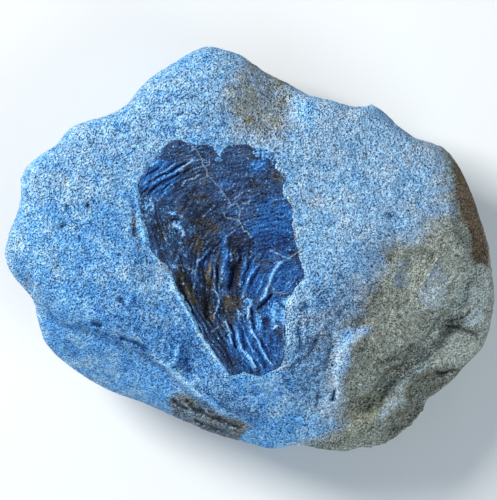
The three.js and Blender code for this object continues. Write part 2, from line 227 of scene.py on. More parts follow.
# %% Growth lines, from the margin to the beak, in mm
GROWTH_LINES = [
    [(5.2, 18.5), (3.7, 19.7), (2, 20), (0.6, 20.2), (-0.3, 20.9), (-2, 20.7), (-3.9, 20.8),
     (-5.2, 19.9), (-5.7, 18.5), (-6.5, 18.3), (-7.1, 19.5), (-7.8, 20.5), (-9.2, 20.9), (-10.8, 20.8),
     (-12.6, 21.3), (-14.2, 21.9), (-16, 21.3), (-17.1, 20.1), (-17.5, 19), (-18.6, 17.8), (-20, 16.9),
     (-20.9, 15.3), (-22, 13.9), (-22.3, 12.4), (-22, 11), (-21.9, 9), (-21.7, 6.4), (-20.4, 4.3),
     (-20, 1.5), (-18.8, -1.3), (-15.8, -3.5), (-15, -6.2), (-12.1, -11.8), (-8.5, -18.5), (-3.8, -25)],
    [(4.7, 16.6), (0, 17.6), (-5.7, 16.8), (-10.9, 17.5), (-15, 15.7), (-18.6, 12), (-19.6, 8.4),
     (-18.6, 4.4), (-17.4, 0.5), (-15.2, -2.5), (-13.8, -6.2), (-10.9, -11.6), (-7.3, -18.3),
     (-2.6, -24.8)],
    [(6.5, 14.3), (1, 15.1), (-4.5, 14.1), (-9.1, 12.4), (-13, 10), (-15.4, 6.4), (-15.8, 2.3),
     (-14.6, -1.3), (-13, -5.2), (-10.5, -10.6), (-7.3, -16.3), (-1.8, -24.8)],
    [(6.4, 11.2), (2.4, 10.8), (-2.4, 9.6), (-6.9, 7.6), (-10.5, 4.8), (-13, 1.3), (-13.4, -2.1),
     (-12.1, -5.8), (-10.1, -10.2), (-6.9, -15.9), (-1, -24.6)],
    [(8.2, 8.4), (3.2, 7.4), (-1, 6.2), (-4.9, 3.9), (-7.7, 1.1), (-9.7, -1.7), (-10.3, -5),
     (-9.5, -8.6), (-7.7, -13.1), (-4.5, -18.7), (0, -24.8)],
    [(8.3, 4.8), (4, 4.6), (0.2, 3.3), (-2.6, 1.3), (-4.7, -1.3), (-5.9, -4.8), (-6.3, -8.6),
     (-5.9, -12.7), (-3.6, -17.7), (1, -25.2)],
    [(8.9, 1.5), (5.3, 1.3), (2, 0.1), (-0.4, -1.9), (-2, -4.8), (-2.8, -8.2), (-2.4, -12.2),
     (-0.8, -17.3), (2.4, -25.4)],
    [(9.7, -1.5), (6.7, -2.1), (3.6, -3.3), (1.4, -5.4), (0, -8), (-0.2, -11), (0.8, -15.3),
     (2.4, -19.3), (4, -24.4)],
    [(10.3, -3.5), (8.1, -3.5), (5.9, -4.8), (4.5, -6.6), (3.6, -8.8), (3.2, -11.8), (3.4, -15.9),
     (4.3, -19.9), (5.5, -23.6)],
    [(10.9, -5.6), (9.5, -7), (8.1, -9), (7.1, -11.4), (6.9, -14.7), (6.9, -18.3), (6.3, -22.6)],
]
ALONG, INWARD = 330, 220  # grid cells along a growth line, and from the margin inward
TUCK_CELLS = 6  # cells round the rim that run on under the rock
TUCK_STEP = 0.22  # mm, the width of one of them


def through(points, at):
    """Read a smooth curve through points at whole and broken positions in the list."""
    points = np.asarray(points, float)
    whole = np.concatenate([[2 * points[0] - points[1]], points, [2 * points[-1] - points[-2]]])
    i = np.clip(np.floor(at).astype(int), 0, len(points) - 2)
    t = (at - i).reshape(-1, *[1] * (points.ndim - 1))
    a, b, c, d = whole[i], whole[i + 1], whole[i + 2], whole[i + 3]
    bend = (2 * a - 5 * b + 4 * c - d) * t**2 + (3 * b - a - 3 * c + d) * t**3
    return b + 0.5 * ((c - a) * t + bend)


def even_curve(points, count):
    """A smooth curve through points, as count places at even steps along it."""
    fine = through(points, np.linspace(0, len(points) - 1, 24 * len(points)))
    steps = np.linalg.norm(np.diff(fine, axis=0), axis=1)
    travelled = np.concatenate([[0], np.cumsum(steps)])
    wanted = np.linspace(0, travelled[-1], count)
    return np.stack([np.interp(wanted, travelled, fine[:, k]) for k in (0, 1)], axis=1)


lines = np.stack([even_curve(line, ALONG + 1) for line in GROWTH_LINES])
plan = through(lines, np.linspace(0, len(lines) - 1, INWARD + 1))  # inward, along, xy
outline = plan.reshape(-1, 2)
print("shell outline in mm:", outline.min(0).round(1), "to", outline.max(0).round(1))

# %% [markdown]
# The rim has to disappear under the rock with no gap, as a real shell does. So the grid gets a
# few more cells all round, which run on outwards from the visible outline.

# %% Lay out the grid in plan
def outward(edge, middle):
    """Unit directions at a right angle to an edge of the plan, away from the middle."""
    run = np.gradient(edge, axis=0)
    normal = np.stack([run[:, 1], -run[:, 0]], axis=1)
    normal /= np.linalg.norm(normal, axis=1)[:, None] + 1e-9
    away = np.sum(normal * (edge - middle), axis=1) > 0
    return np.where(away[:, None], normal, -normal)


middle = outline.mean(0)
inward_cell = np.clip(np.arange(-TUCK_CELLS, INWARD + TUCK_CELLS + 1), 0, INWARD)
along_cell = np.clip(np.arange(-TUCK_CELLS, ALONG + TUCK_CELLS + 1), 0, ALONG)
inward_over = np.arange(-TUCK_CELLS, INWARD + TUCK_CELLS + 1) - inward_cell
along_over = np.arange(-TUCK_CELLS, ALONG + TUCK_CELLS + 1) - along_cell
margin_out, beak_out = outward(plan[0], middle), outward(plan[-1], middle)
start_out, end_out = outward(plan[:, 0], middle), outward(plan[:, -1], middle)

laid = plan[np.ix_(inward_cell, along_cell)]
side_out = np.where((inward_over < 0)[:, None, None], margin_out[along_cell], beak_out[along_cell])
end_side_out = np.where(
    (along_over < 0)[None, :, None], start_out[inward_cell][:, None], end_out[inward_cell][:, None]
)
laid = laid + side_out * np.abs(inward_over)[:, None, None] * TUCK_STEP
laid = laid + end_side_out * np.abs(along_over)[None, :, None] * TUCK_STEP
growth_in, growth_along = np.meshgrid(inward_cell / INWARD, along_cell / ALONG, indexing="ij")
over = np.maximum(np.abs(inward_over)[:, None], np.abs(along_over)[None, :]) * TUCK_STEP
flat_places = np.column_stack([laid.reshape(-1, 2), np.zeros(over.size)])
print("shell grid:", laid.shape[:2], "vertices")

# %% [markdown]
# ### Its relief
#
# The valve is a bowl, deepest along the lower left and rising gently to the right. On the bowl
# lie the growth layers. Each is a thin plate whose free edge stands up towards the margin, with
# a wavy, chipped course. Towards the lower end the plates crowd together and a few of them stand
# out as ribs. A real valve keeps the mark of each of its growth stops, so the plates that show
# most are drawn one by one. Six fields of fine even stripes lie between the drawn lines, and a
# few strips are stained golden brown.

# %% Lines and stripes drawn on the shell
SHELL_LINES = [
    # course, half width, height (minus is a groove), painted highlight on it (minus is painted shade)
    ([(-7.4, 0.9), (-8.6, -0.4), (-9.6, -1.6), (-10.5, -2.4), (-10.9, -4), (-11, -6), (-11.3, -8.5),
      (-10.9, -10.5)], 0.26, 0.35, 0.65),
    ([(-7.3, -0.3), (-8.7, -1.5), (-9.7, -2.9), (-9.9, -4.8), (-10, -7.4)], 0.4, -0.3, -0.4),
    ([(-13.7, -5.2), (-13.3, -6.8), (-12.4, -8.4), (-11.8, -10.2)], 0.35, 0.3, 0.4),
    ([(-14.4, -5), (-14.3, -7), (-13.2, -9.4), (-12.2, -11.4), (-10.9, -13.6)], 0.4, -0.35, -0.7),
    ([(-8.2, -2.4), (-7.9, -3.8), (-8.4, -5.4), (-8.6, -7.2)], 0.45, 0.3, 0.35),
    ([(-9.1, -4), (-9.2, -6.4), (-9, -9), (-8.6, -12), (-8.4, -14.6)], 0.5, -0.35, -0.5),
    ([(-7.1, -2.9), (-7, -4.6), (-7.4, -6.4), (-7.1, -8.2), (-6.2, -9.4), (-6.1, -10.6), (-6.6, -11.8),
      (-7.1, -13), (-7.1, -15.2)], 0.25, 0.45, 0.8),
    ([(-6.4, -3), (-6.4, -5), (-6.5, -7)], 0.3, -0.25, -0.4),
    ([(-4.6, 2.6), (-4.9, 0.4), (-5, -2), (-5.3, -3.6), (-5.4, -5.4), (-6, -7.4)], 0.6, 0.55, 0.55),
    ([(-3.9, -0.5), (-3.6, -1.9), (-4, -2.9)], 0.22, 0.3, 0.9),
    ([(-2.8, -0.5), (-2.3, -1.3), (-2.8, -2.5)], 0.25, 0.35, 0.9),
    ([(-2.4, 1.2), (-2, -0.4), (-2, -2), (-2.6, -3.4), (-3.2, -5.2), (-3.8, -7.4), (-4.6, -9)],
      0.7, -0.6, -0.85),
    ([(-5.6, -8.2), (-4.4, -9.6), (-3.6, -11.4), (-3.8, -13)], 0.5, 0.2, 0.35),
    ([(-5, -9.4), (-5.3, -11.2), (-5.4, -13)], 0.4, -0.3, -0.4),
    ([(-1.1, -0.8), (-1, -2.8), (-1.4, -4.6), (-2, -6), (-1.9, -8.2)], 0.35, 0.35, 0.45),
    ([(0.2, -1.6), (-0.3, -3.4), (-0.9, -5.4), (-1.5, -7.6)], 0.3, -0.3, -0.45),
    ([(2.4, -2.5), (1.2, -3.8), (0.2, -5.1), (-0.6, -6.7), (-1.1, -8.8), (-1.6, -10.6)],
      0.32, 0.4, 0.8),
    ([(2.9, -3.3), (1.6, -4.8), (0.7, -6.2), (0.1, -8.2)], 0.35, -0.25, -0.45),
    ([(2.2, -6), (2, -7.6), (1.4, -9)], 0.3, 0.15, 0.35),
    ([(7.6, -2.2), (6, -2.9), (4.9, -4.2), (4.1, -5.9), (3.5, -7.7), (3.2, -9), (2.2, -10),
      (0.8, -10.6)], 0.42, 0.55, 1.05),
    ([(0.8, -10.6), (-0.3, -11.8), (-0.4, -13.5), (0, -15.5), (0.6, -17.3)], 0.35, 0.35, 0.9),
    ([(4.8, -8.4), (4, -9.6), (3, -10.6), (1.9, -11.7), (1.2, -12.6)], 0.35, -0.5, -1.0),
    ([(4.4, -3), (5.2, -2.2), (6.4, -1.6)], 0.8, 0.2, 0.45),
    ([(9.6, -4.9), (8.7, -6.5), (7.6, -8)], 0.22, 0.3, 0.7),
    ([(9, -4.9), (8.2, -6.2), (7, -7.8)], 0.2, 0.15, 0.4),
    ([(10.8, -5.9), (9.7, -7.4), (8.5, -9.1)], 0.3, -0.6, -1),
    ([(-3.4, -10.6), (-2.6, -11.8), (-2.2, -13.4), (-2.4, -15)], 0.3, 0.3, 0.6),
    ([(-5.3, -13.8), (-4.5, -15.8), (-3.9, -17.8), (-3.4, -20)], 0.32, 0.4, 0.9),
    ([(-4.6, -17.4), (-4.2, -19.4), (-3.4, -21.4), (-2.4, -23.6)], 0.2, 0.2, 0.4),
    ([(-4.3, -14.6), (-3.4, -16.6), (-3, -18.6), (-2.7, -20.4)], 0.3, -0.35, -0.8),
    ([(-3.6, -14.9), (-2.5, -16.5), (-2, -18.4), (-1.7, -20), (-0.8, -21.2), (0.3, -22.7),
      (1.4, -24.8)], 0.42, 0.45, 0.95),
    ([(-2.6, -15), (-1.4, -16.8), (-1, -18.6), (-0.4, -20.2)], 0.35, -0.35, -0.6),
    ([(-1.1, -20.1), (-0.2, -21), (0.5, -22.4), (1.4, -24)], 0.22, 0.3, 0.8),
    ([(-0.8, -16.6), (-0.3, -18.6), (0.8, -20.6), (2, -22.8), (3, -24.4)], 0.25, 0.3, 0.6),
    ([(0, -15.6), (0.7, -17.2), (1.6, -18.6), (2.4, -20), (3.1, -21.5), (4.2, -22.9), (5.3, -24)],
      0.36, 0.45, 1.05),
    ([(0.2, -17.6), (1, -19.4), (2.2, -21.6), (3.6, -23.8)], 0.28, -0.35, -0.8),
    ([(2.2, -17.6), (2.9, -19.6), (3.8, -21.6), (4.8, -23)], 0.35, -0.3, -0.6),
    ([(6.8, -16.2), (6.9, -18.5), (6.7, -20.4), (6.1, -22.2)], 0.2, 0.25, 0.5),
    ([(4.1, -19.4), (5, -19), (6, -19.5)], 0.18, 0.1, 0.7),
    ([(4.5, -21.1), (5.2, -21.5), (5.9, -21)], 0.2, 0.1, 0.6),
    ([(-6.9, -15.9), (-6, -17.6), (-5, -20), (-3.6, -22.8), (-2.6, -24.4)], 0.3, -0.3, -0.4),
    ([(-9.9, 6.1), (-8.4, 7.6), (-6.8, 8.9)], 0.22, 0.25, 0.65),
    ([(-1.9, 9.1), (-0.6, 9.3), (0.3, 10)], 0.25, 0.2, 0.9),
    ([(-4.4, 12.9), (-3.6, 13.5)], 0.2, 0.15, 0.6),
    ([(-13.8, 12.6), (-13, 13.6)], 0.3, 0.2, 0.9),
    ([(-16.8, 7.4), (-15.4, 7.5), (-14, 6.9), (-12.8, 5.8), (-11.7, 4.5)], 0.28, 0.25, 0.6),
    ([(-16.6, 4.6), (-15.2, 5), (-14, 4.2), (-13.3, 3), (-13.6, 2)], 0.4, 0.35, 0.8),
    ([(-16.4, 3.7), (-17, 2.6), (-16.6, 1.6), (-15.9, 0.6)], 0.22, 0.25, 0.7),
    ([(-13.6, 0.6), (-14.2, -0.6), (-14.6, -1.8), (-15, -3)], 0.35, 0.25, 0.7),
    ([(-15.6, 0), (-16, -1.6)], 0.3, 0.2, 0.5),
    ([(-20.8, 10.6), (-19.8, 9.6), (-19.4, 8.2), (-20.2, 7.4)], 0.35, 0.3, 0.8),
    ([(-20.4, 6.3), (-19.2, 5.8), (-18.6, 5)], 0.22, 0.2, 0.7),
    ([(-20.4, 16.4), (-19, 17.4), (-17.8, 18.4)], 0.35, 0.15, 0.6),
    ([(-21.7, 12.7), (-20.4, 13.9), (-19, 14.7), (-17.2, 15.6), (-16, 16.3), (-14.4, 17.7)],
      0.3, 0.25, 0.8),
    ([(-20.6, 12), (-19.4, 13), (-18, 13.9), (-16.4, 14.8), (-15, 15.5), (-13.8, 16.2), (-12.2, 17.5),
      (-10, 18.6)], 0.28, 0.25, 0.85),
    ([(-14.2, 15.6), (-13.2, 15.9)], 0.3, 0.15, 1.0),
    ([(-13.8, 13.2), (-12.6, 13.8), (-11, 14.5), (-9.8, 15)], 0.25, 0.2, 0.6),
    ([(-17.2, 10.9), (-16, 11.8), (-15, 12.6)], 0.25, 0.2, 0.55),
    ([(-21, 15), (-20, 15.3), (-19, 15.9), (-18, 16.5)], 0.26, -0.3, -0.8),
    ([(-21.2, 13.2), (-19.2, 14.3), (-18, 14.9), (-16.6, 15.3), (-14.6, 16.5), (-13, 17.3),
      (-11.6, 18)], 0.22, -0.3, -0.9),
    ([(-20.6, 10.8), (-19.8, 11.6), (-18.8, 12.8), (-17, 14), (-15, 14.9), (-13.6, 15.3), (-12, 16),
      (-10.6, 16.4)], 0.28, -0.35, -1.0),
    ([(-18.6, 10.8), (-17.4, 12.3), (-15.8, 13.5), (-14.2, 14.4), (-12.6, 14.9)], 0.25, -0.25, -0.6),
    ([(-21.8, 11.2), (-21, 11.9), (-20, 12.3)], 0.22, -0.2, -0.6),
    ([(-15.9, 6), (-15, 6.1), (-14.2, 5.6)], 0.4, -0.4, -0.9),
    ([(-13.6, 3.8), (-13.3, 2.6)], 0.35, 0.3, 0.9),
    ([(-8, -8.6), (-8.4, -10.4), (-9, -12.6), (-8.6, -15)], 0.45, -0.3, -0.6),
    ([(-3.4, -3.2), (-3.2, -4.6), (-3.8, -6.4), (-3.8, -8)], 0.55, -0.4, -0.9),
    ([(0.6, -11.8), (0.6, -13.6), (0.7, -15), (0.9, -16.6)], 0.25, -0.3, -0.8),
    ([(2.5, -14.1), (3.4, -14.1), (3.5, -15.4), (2.7, -16.2)], 0.45, -0.1, -0.9),
    ([(4.5, -16.4), (5.1, -15.6), (6.2, -15.3)], 0.22, 0.25, 0.9),
    ([(-8.4, -17.4), (-7, -19.6), (-6, -21.2), (-4.8, -23)], 0.18, 0.2, 0.4),
    ([(-0.3, -11.3), (-0.2, -12.8), (-0.6, -14)], 0.25, 0.25, 0.8),
]
GOLDEN_LINES = [
    # course and half width of the strips stained golden brown
    ([(-7.4, -2.3), (-8, -3.6), (-8.4, -5.2), (-8.3, -7.4)], 0.4),
    ([(-13.6, -4.8), (-13.3, -6.4), (-12.6, -8), (-11.6, -9.8), (-10.8, -12)], 0.45),
    ([(-2.6, -5), (-2.3, -6), (-2.6, -7.4)], 0.4),
    ([(-4.4, -9), (-4.8, -10.4), (-3.6, -11.6)], 0.6),
    ([(-11, 3.4), (-10.4, 2.2), (-10.2, 0.6), (-11, -0.8)], 0.45),
    ([(-7.8, -12), (-7.7, -13.6), (-7.9, -15)], 0.3),
    ([(-14.4, 8.6), (-13.6, 7.6)], 0.5),
]
STRIPED_FIELDS = [
    # the course that stripes run along, spacing, how far they reach to its left and right, strength
    ([(-23, 7.6), (-20, 10.2), (-17, 12.4), (-14, 14.2), (-11, 15.4), (-7, 16.4)],
      0.74, 6.0, 1.2, 0.55),
    ([(-4.5, 3.4), (0, 4.9), (4, 6), (8.5, 7.2)], 0.85, 3.5, 6.0, 0.35),
    ([(-8, 3), (-9.4, -1), (-9.8, -5), (-9.6, -9), (-8.4, -13), (-6.5, -16.5)], 0.9, 3.4, 3.0, 0.5),
    ([(-2, 1), (-2.6, -3), (-3.6, -7), (-4, -10)], 0.8, 3, 2.5, 0.4),
    ([(-4.4, -13), (-3, -16), (-1.9, -19), (0, -22), (2, -24.6)], 0.85, 4.5, 2.6, 0.55),
    ([(-14.4, -8.4), (-12.4, -11.9), (-10.5, -15), (-8.2, -18.6), (-6.2, -21.4), (-4.3, -24.8)],
      0.95, 2.4, 0.3, 0.9),
]

# %% The bowl and its plates
CROWN_HEIGHT = 27.5  # mm, the rock's worn top near its middle
MARGIN_DROP = 0.2  # mm from that top down to the valve's margin
SHELL_DEPTH = 5.2  # mm from the margin down to the deepest place


def crown(where):
    """Height of the rock's worn top round the shell."""
    dome = 3.2 * ((where[:, 0] / 50) ** 2 + (where[:, 1] / 41) ** 2)
    return CROWN_HEIGHT - dome + 1.6 * dent(where, (-9, 30), (11, 14))


def bowl(where):
    """Depth of the valve's hollow as a share: steep on the lower left, gentle on the right."""
    dx, dy = where[:, 0] + 6.2, where[:, 1] + 8
    across = dx * math.cos(0.53) + dy * math.sin(0.53)
    along = dy * math.cos(0.53) - dx * math.sin(0.53)
    a = across / np.where(across > 0, 11.5, 7.5)
    b = along / np.where(along > 0, 20, 16.5)
    return np.exp(-(a**2) - b**2)


def plate(position):
    """One growth plate: a quick rise at its free edge, then a slow fall."""
    t = position - np.floor(position)
    return soft_step(0, 0.16, t) * (1 - t) ** 0.8


# %% Add up the shell's relief
LAYERS = 23  # growth layers between margin and beak
PLATE_RISE, FINE_PLATE_RISE, STRIPE_RISE = 0.5, 0.12, 0.13  # mm
GRAIN_RISE, SWELL_RISE = 0.10, 0.25  # mm

inward, along = growth_in.ravel(), growth_along.ravel()
waver = 0.030 * lumps(flat_places, 5.5, 3) + 0.014 * lumps(flat_places, 1.9, 4)
waver += 0.006 * lumps(flat_places, 0.8, 5)
towards_end = soft_step(0.62, 0.86, along)
course = (inward + waver * (1 - 0.75 * towards_end)) * LAYERS
each_plate = 0.55 + 0.45 * np.sin(np.floor(course) * 2.4 + 1)
chipped = 0.62 + 0.38 * lumps(flat_places, 3.2, 6)
plates = plate(course) * each_plate * chipped
fine_plates = plate((inward + 0.6 * waver) * LAYERS * 1.9) * (0.5 + 0.5 * lumps(flat_places, 2.3, 7))

ragged = sway(flat_places, 1.4, (10, 13), rough)
folds, glow = np.zeros_like(inward), np.zeros_like(inward)
for route, width, height_there, light in SHELL_LINES:
    strength = ridge(flat_places + 0.2 * ragged, route, width)
    folds += height_there * strength
    # painted highlight on a line's crest, painted shade in a groove
    glow += light * strength
golden = sum(ridge(flat_places + 0.4 * ragged, route, width) for route, width in GOLDEN_LINES)
stripes = np.zeros_like(inward)
for route, spacing, reach_left, reach_right, strength_there in STRIPED_FIELDS:
    past, share = off_line(flat_places + 0.3 * ragged, route)
    strength = soft_step(-reach_left - 1, -reach_left, past)
    strength *= soft_step(reach_right + 0.6, reach_right, past)
    strength *= faded_ends(share) * strength_there
    strength *= np.clip(0.75 + 0.9 * lumps(flat_places, 2.2, 16), 0, 1)
    stripes += strength * np.cos(2 * math.pi * past / spacing + 1.8 * lumps(flat_places, 3.0, 17))
depth = crown(flat_places) - MARGIN_DROP - SHELL_DEPTH * bowl(flat_places)
over_edge = course - np.floor(course)
# painted highlight on each plate's free edge and painted shade at its foot, with the stripes lighter on
# their crests; the material reads it as edge
painted_edge_light = np.exp(-(((over_edge - 0.14) / 0.10) ** 2))
painted_edge_light -= 0.8 * np.exp(-(((over_edge - 0.95) / 0.13) ** 2))
lined = 0.3 + 0.2 * dent(flat_places, (6, 3), (5, 6)) - 0.2 * dent(flat_places, (-8, -5), (9, 12))
painted_edge_light = painted_edge_light * each_plate * np.clip(chipped, 0, 1) * lined + 0.8 * stripes
relief = PLATE_RISE * plates * (1 - 0.6 * towards_end) + FINE_PLATE_RISE * fine_plates
relief += STRIPE_RISE * stripes + folds
relief += GRAIN_RISE * rough(flat_places, 1.2, 8) + SWELL_RISE * lumps(flat_places, 4.5, 9)
height = depth + relief * soft_step(1.4, 0.2, over.ravel()) - 0.9 * over.ravel() ** 1.3
print("shell relief in mm:", round(relief.min(), 2), "to", round(relief.max(), 2))

# %% [markdown]
# The grid is added as a plane primitive with its UV map, its vertices take the places worked
# out above, and a coarse smooth underside is bridged to its rim so that the valve is a closed
# plate of stone.

# %% Make the valve
def grid_piece(name, rows, columns, where, **numbers):
    """A grid primitive whose vertices, row by row, are laid at those places in mm.
    Other numbers given row by row are stored on the vertices under their names."""
    bpy.ops.object.select_all(action="DESELECT")
    bpy.ops.mesh.primitive_grid_add(
        x_subdivisions=columns - 1, y_subdivisions=rows - 1, size=2, calc_uvs=True
    )
    piece = bpy.context.object
    piece.name = piece.data.name = name
    start = places(piece)
    order = np.lexsort((np.round(start[:, 0]), np.round(start[:, 1])))
    shaped = np.empty_like(start)
    shaped[order] = where
    put(piece, shaped)
    for name, given in numbers.items():
        stored = np.empty(len(order))
        stored[order] = given
        mark(piece, name, stored)
    return piece


valve_places = np.column_stack([flat_places[:, :2], height])
valve = grid_piece("fossil_valve", *laid.shape[:2], valve_places, edge=painted_edge_light, glow=glow, gold=golden)
print("valve triangles so far:", triangles(valve))

# %% [markdown]
# Nobody sees the underside, which lies on the rock, so every ninth row and column will do for it.
# The two rims have different numbers of vertices, and the bridge operator copes with that.

# %% Close the valve
SHELL_THICKNESS = 1.6  # mm
COARSER = 9  # rows and columns of the top to one of the underside


def every(count, step):
    """Every so many-th number up to count, with the last one always in."""
    return np.append(np.arange(0, count - 1, step), count - 1)


def bridge_rims(upper, lower):
    """Join two open sheets into one closed piece by a band between their rims."""
    only(upper)
    lower.select_set(True)
    bpy.ops.object.join()
    bpy.ops.object.mode_set(mode="EDIT")
    bpy.ops.mesh.select_mode(type="EDGE")
    bpy.ops.mesh.select_all(action="DESELECT")
    bpy.ops.mesh.select_non_manifold(extend=False)
    bpy.ops.mesh.bridge_edge_loops()
    bpy.ops.mesh.select_all(action="SELECT")
    bpy.ops.mesh.normals_make_consistent(inside=False)
    bpy.ops.object.mode_set(mode="OBJECT")


rows, columns = (every(count, COARSER) for count in laid.shape[:2])
kept = np.ix_(rows, columns)
under_depth = (depth - SHELL_THICKNESS - 0.4 - 0.5 * over.ravel()).reshape(over.shape)[kept]
under_places = np.column_stack([laid[kept].reshape(-1, 2), under_depth.ravel()])
underside = grid_piece("valve_underside", len(rows), len(columns), under_places)
bridge_rims(valve, underside)
bpy.ops.object.shade_smooth()
print("valve closed:", triangles(valve), "triangles")

# %% [markdown]
# ## The rock
#
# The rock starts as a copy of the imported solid, so its outline and its large breaks are the
# frame's. A second copy, of the shell solid, is swelled a little and joined in, and a voxel
# remesh melts the two into one even skin. That fills the bed, which is then pressed down again
# to fit the finished valve. Only the upper side needs a fine mesh, so only it is subdivided.

# %% Melt the frame's solids into one even skin
VOXEL = 0.76  # mm
SAME_PLACE = 0.001  # mm within which two vertices are one
FILLING_SWELL = 0.55  # mm that the copy of the shell is let out, so that it meets the rock


def copy_of(node, name):
    """A merged copy of a CAD node, as a new piece. The node itself stays as it is."""
    copied = bpy.data.objects.new(name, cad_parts[node].data.copy())
    bpy.context.scene.collection.objects.link(copied)
    copied.data.materials.clear()
    only(copied)
    bpy.ops.object.mode_set(mode="EDIT")
    bpy.ops.mesh.select_all(action="SELECT")
    bpy.ops.mesh.remove_doubles(threshold=SAME_PLACE * MM)
    bpy.ops.object.mode_set(mode="OBJECT")
    return copied


rock = copy_of("stone_matrix", "sandstone_lump")
filling = copy_of("fossil_shell", "bed_filling")
finish_modifier(filling, "DISPLACE", strength=FILLING_SWELL * MM, mid_level=0.0)
only(rock)
filling.select_set(True)
bpy.ops.object.join()
finish_modifier(rock, "REMESH", mode="VOXEL", voxel_size=VOXEL * MM)
finish_modifier(rock, "SMOOTH", factor=0.5, iterations=3)
print("rock skin:", triangles(rock), "triangles")

# %% Subdivide the upper side
def select_faces(piece, wanted):
    """Select faces by a list of yes or no, and enter edit mode on them."""
    only(piece)
    bpy.ops.object.mode_set(mode="EDIT")
    bpy.ops.mesh.select_mode(type="FACE")
    bpy.ops.mesh.select_all(action="DESELECT")
    bpy.ops.object.mode_set(mode="OBJECT")
    piece.data.polygons.foreach_set("select", np.asarray(wanted, bool))
    bpy.ops.object.mode_set(mode="EDIT")


def faces_of(piece, what):
    """One vector a face: its center or its normal."""
    flat = np.empty(len(piece.data.polygons) * 3, np.float32)
    piece.data.polygons.foreach_get(what, flat)
    return flat.reshape(-1, 3)


UPPER = 12.5  # mm above the table
LOOKS_UP = 0.1  # least upward share of a normal
upper = (faces_of(rock, "center")[:, 2] > UPPER * MM) & (faces_of(rock, "normal")[:, 2] > LOOKS_UP)
select_faces(rock, upper)
bpy.ops.mesh.subdivide(number_cuts=1, smoothness=0.0)
bpy.ops.object.mode_set(mode="OBJECT")
finish_modifier(rock, "SMOOTH", factor=0.5, iterations=4)
print("rock with a fine upper side:", triangles(rock), "triangles")

# %% [markdown]
# ### Breaks, ledges and pits
#
# Sandstone breaks along its bedding. On the right and at the lower right several thin layers
# have come away, which leaves lips, ledges and one deep crack under a knob. The lower left is
# one long worn bevel under a low crest. These follow drawn lines in plan, so each is a route
# with a width and a height.

# %% Where the rock broke
LOWER_LIP = [(17.5, -31.5), (19.2, -30.4), (21.8, -29.6), (24.1, -28.1), (26.1, -24.9), (27.4, -23.8),
             (30, -23), (30.8, -21.4), (31.6, -20.3), (32.6, -19), (33.7, -18.2), (35.1, -17.2),
             (35.6, -16), (36.2, -15.2), (37.2, -13.7), (38.3, -12.6), (39.4, -11.5)]
UPPER_LIP = [*LOWER_LIP[-3:], (40.1, -10.1), (40.4, -8.2), (40.5, -6.9), (41, -6), (42.3, -5.2),
             (43.6, -3.8), (43.6, -2.5), (43, -1.5), (42.7, -0.2), (42.1, 0.8), (41, 2.4), (39.9, 3.3)]
BOTTOM_EDGE = [(26.4, -38.2), (27.5, -36), (28.5, -34), (30.1, -32.8), (31.9, -31.5), (31.5, -29),
               (31.9, -27.4), (33.1, -26.3), (35.1, -25.3), (36.9, -24.5), (39.6, -24.3), (43.6, -23.9)]
LEDGES = [
    # course with the lower side on its right, drop, width of the face, reach in mm
    (LOWER_LIP, 1.3, 0.7, 5),
    (UPPER_LIP, 0.8, 1.0, 6),
    ([(23.8, -23.4), (25.7, -21.9), (27.3, -20.8), (28.8, -20.1), (30.8, -19.4), (33.4, -18.4)],
      0.7, 0.8, 2.6),
    ([(37.4, -15.6), (39.2, -15.6), (40.9, -15.8), (42.7, -16.3), (44.1, -16.8), (45, -17.1),
      (46.5, -17.8)], 0.6, 0.4, 2.5),
    ([(38.3, -15.1), (39.4, -14.5), (40.9, -14.3), (42.7, -13.8), (43.6, -13)], 0.4, 0.5, 1.6),
    (BOTTOM_EDGE, 0.9, 0.7, 4),
    ([(27.3, -8.6), (28.4, -6.3), (28.7, -4.6), (29.4, -2.9), (30, -1.9), (30.8, -0.5), (32.2, 0.3),
      (33.8, 0.6), (35.7, 0.1), (37.3, -0.2), (38.4, -0.8)], 0.45, 2.0, 6),
    ([(21.5, -4.4), (24.9, -2.6), (26.7, -1.1), (26.9, 1.9), (26.5, 5), (26, 8)], 0.4, 2.2, 5.5),
    ([(-43.2, -10.4), (-40.1, -11), (-37.5, -14.2), (-32.5, -15.4), (-25.1, -18.3), (-20, -21),
      (-16.3, -23.6), (-13.2, -27.2), (-9.4, -29.9), (-4, -32.8)], 0.5, 1.3, 3.5),
]
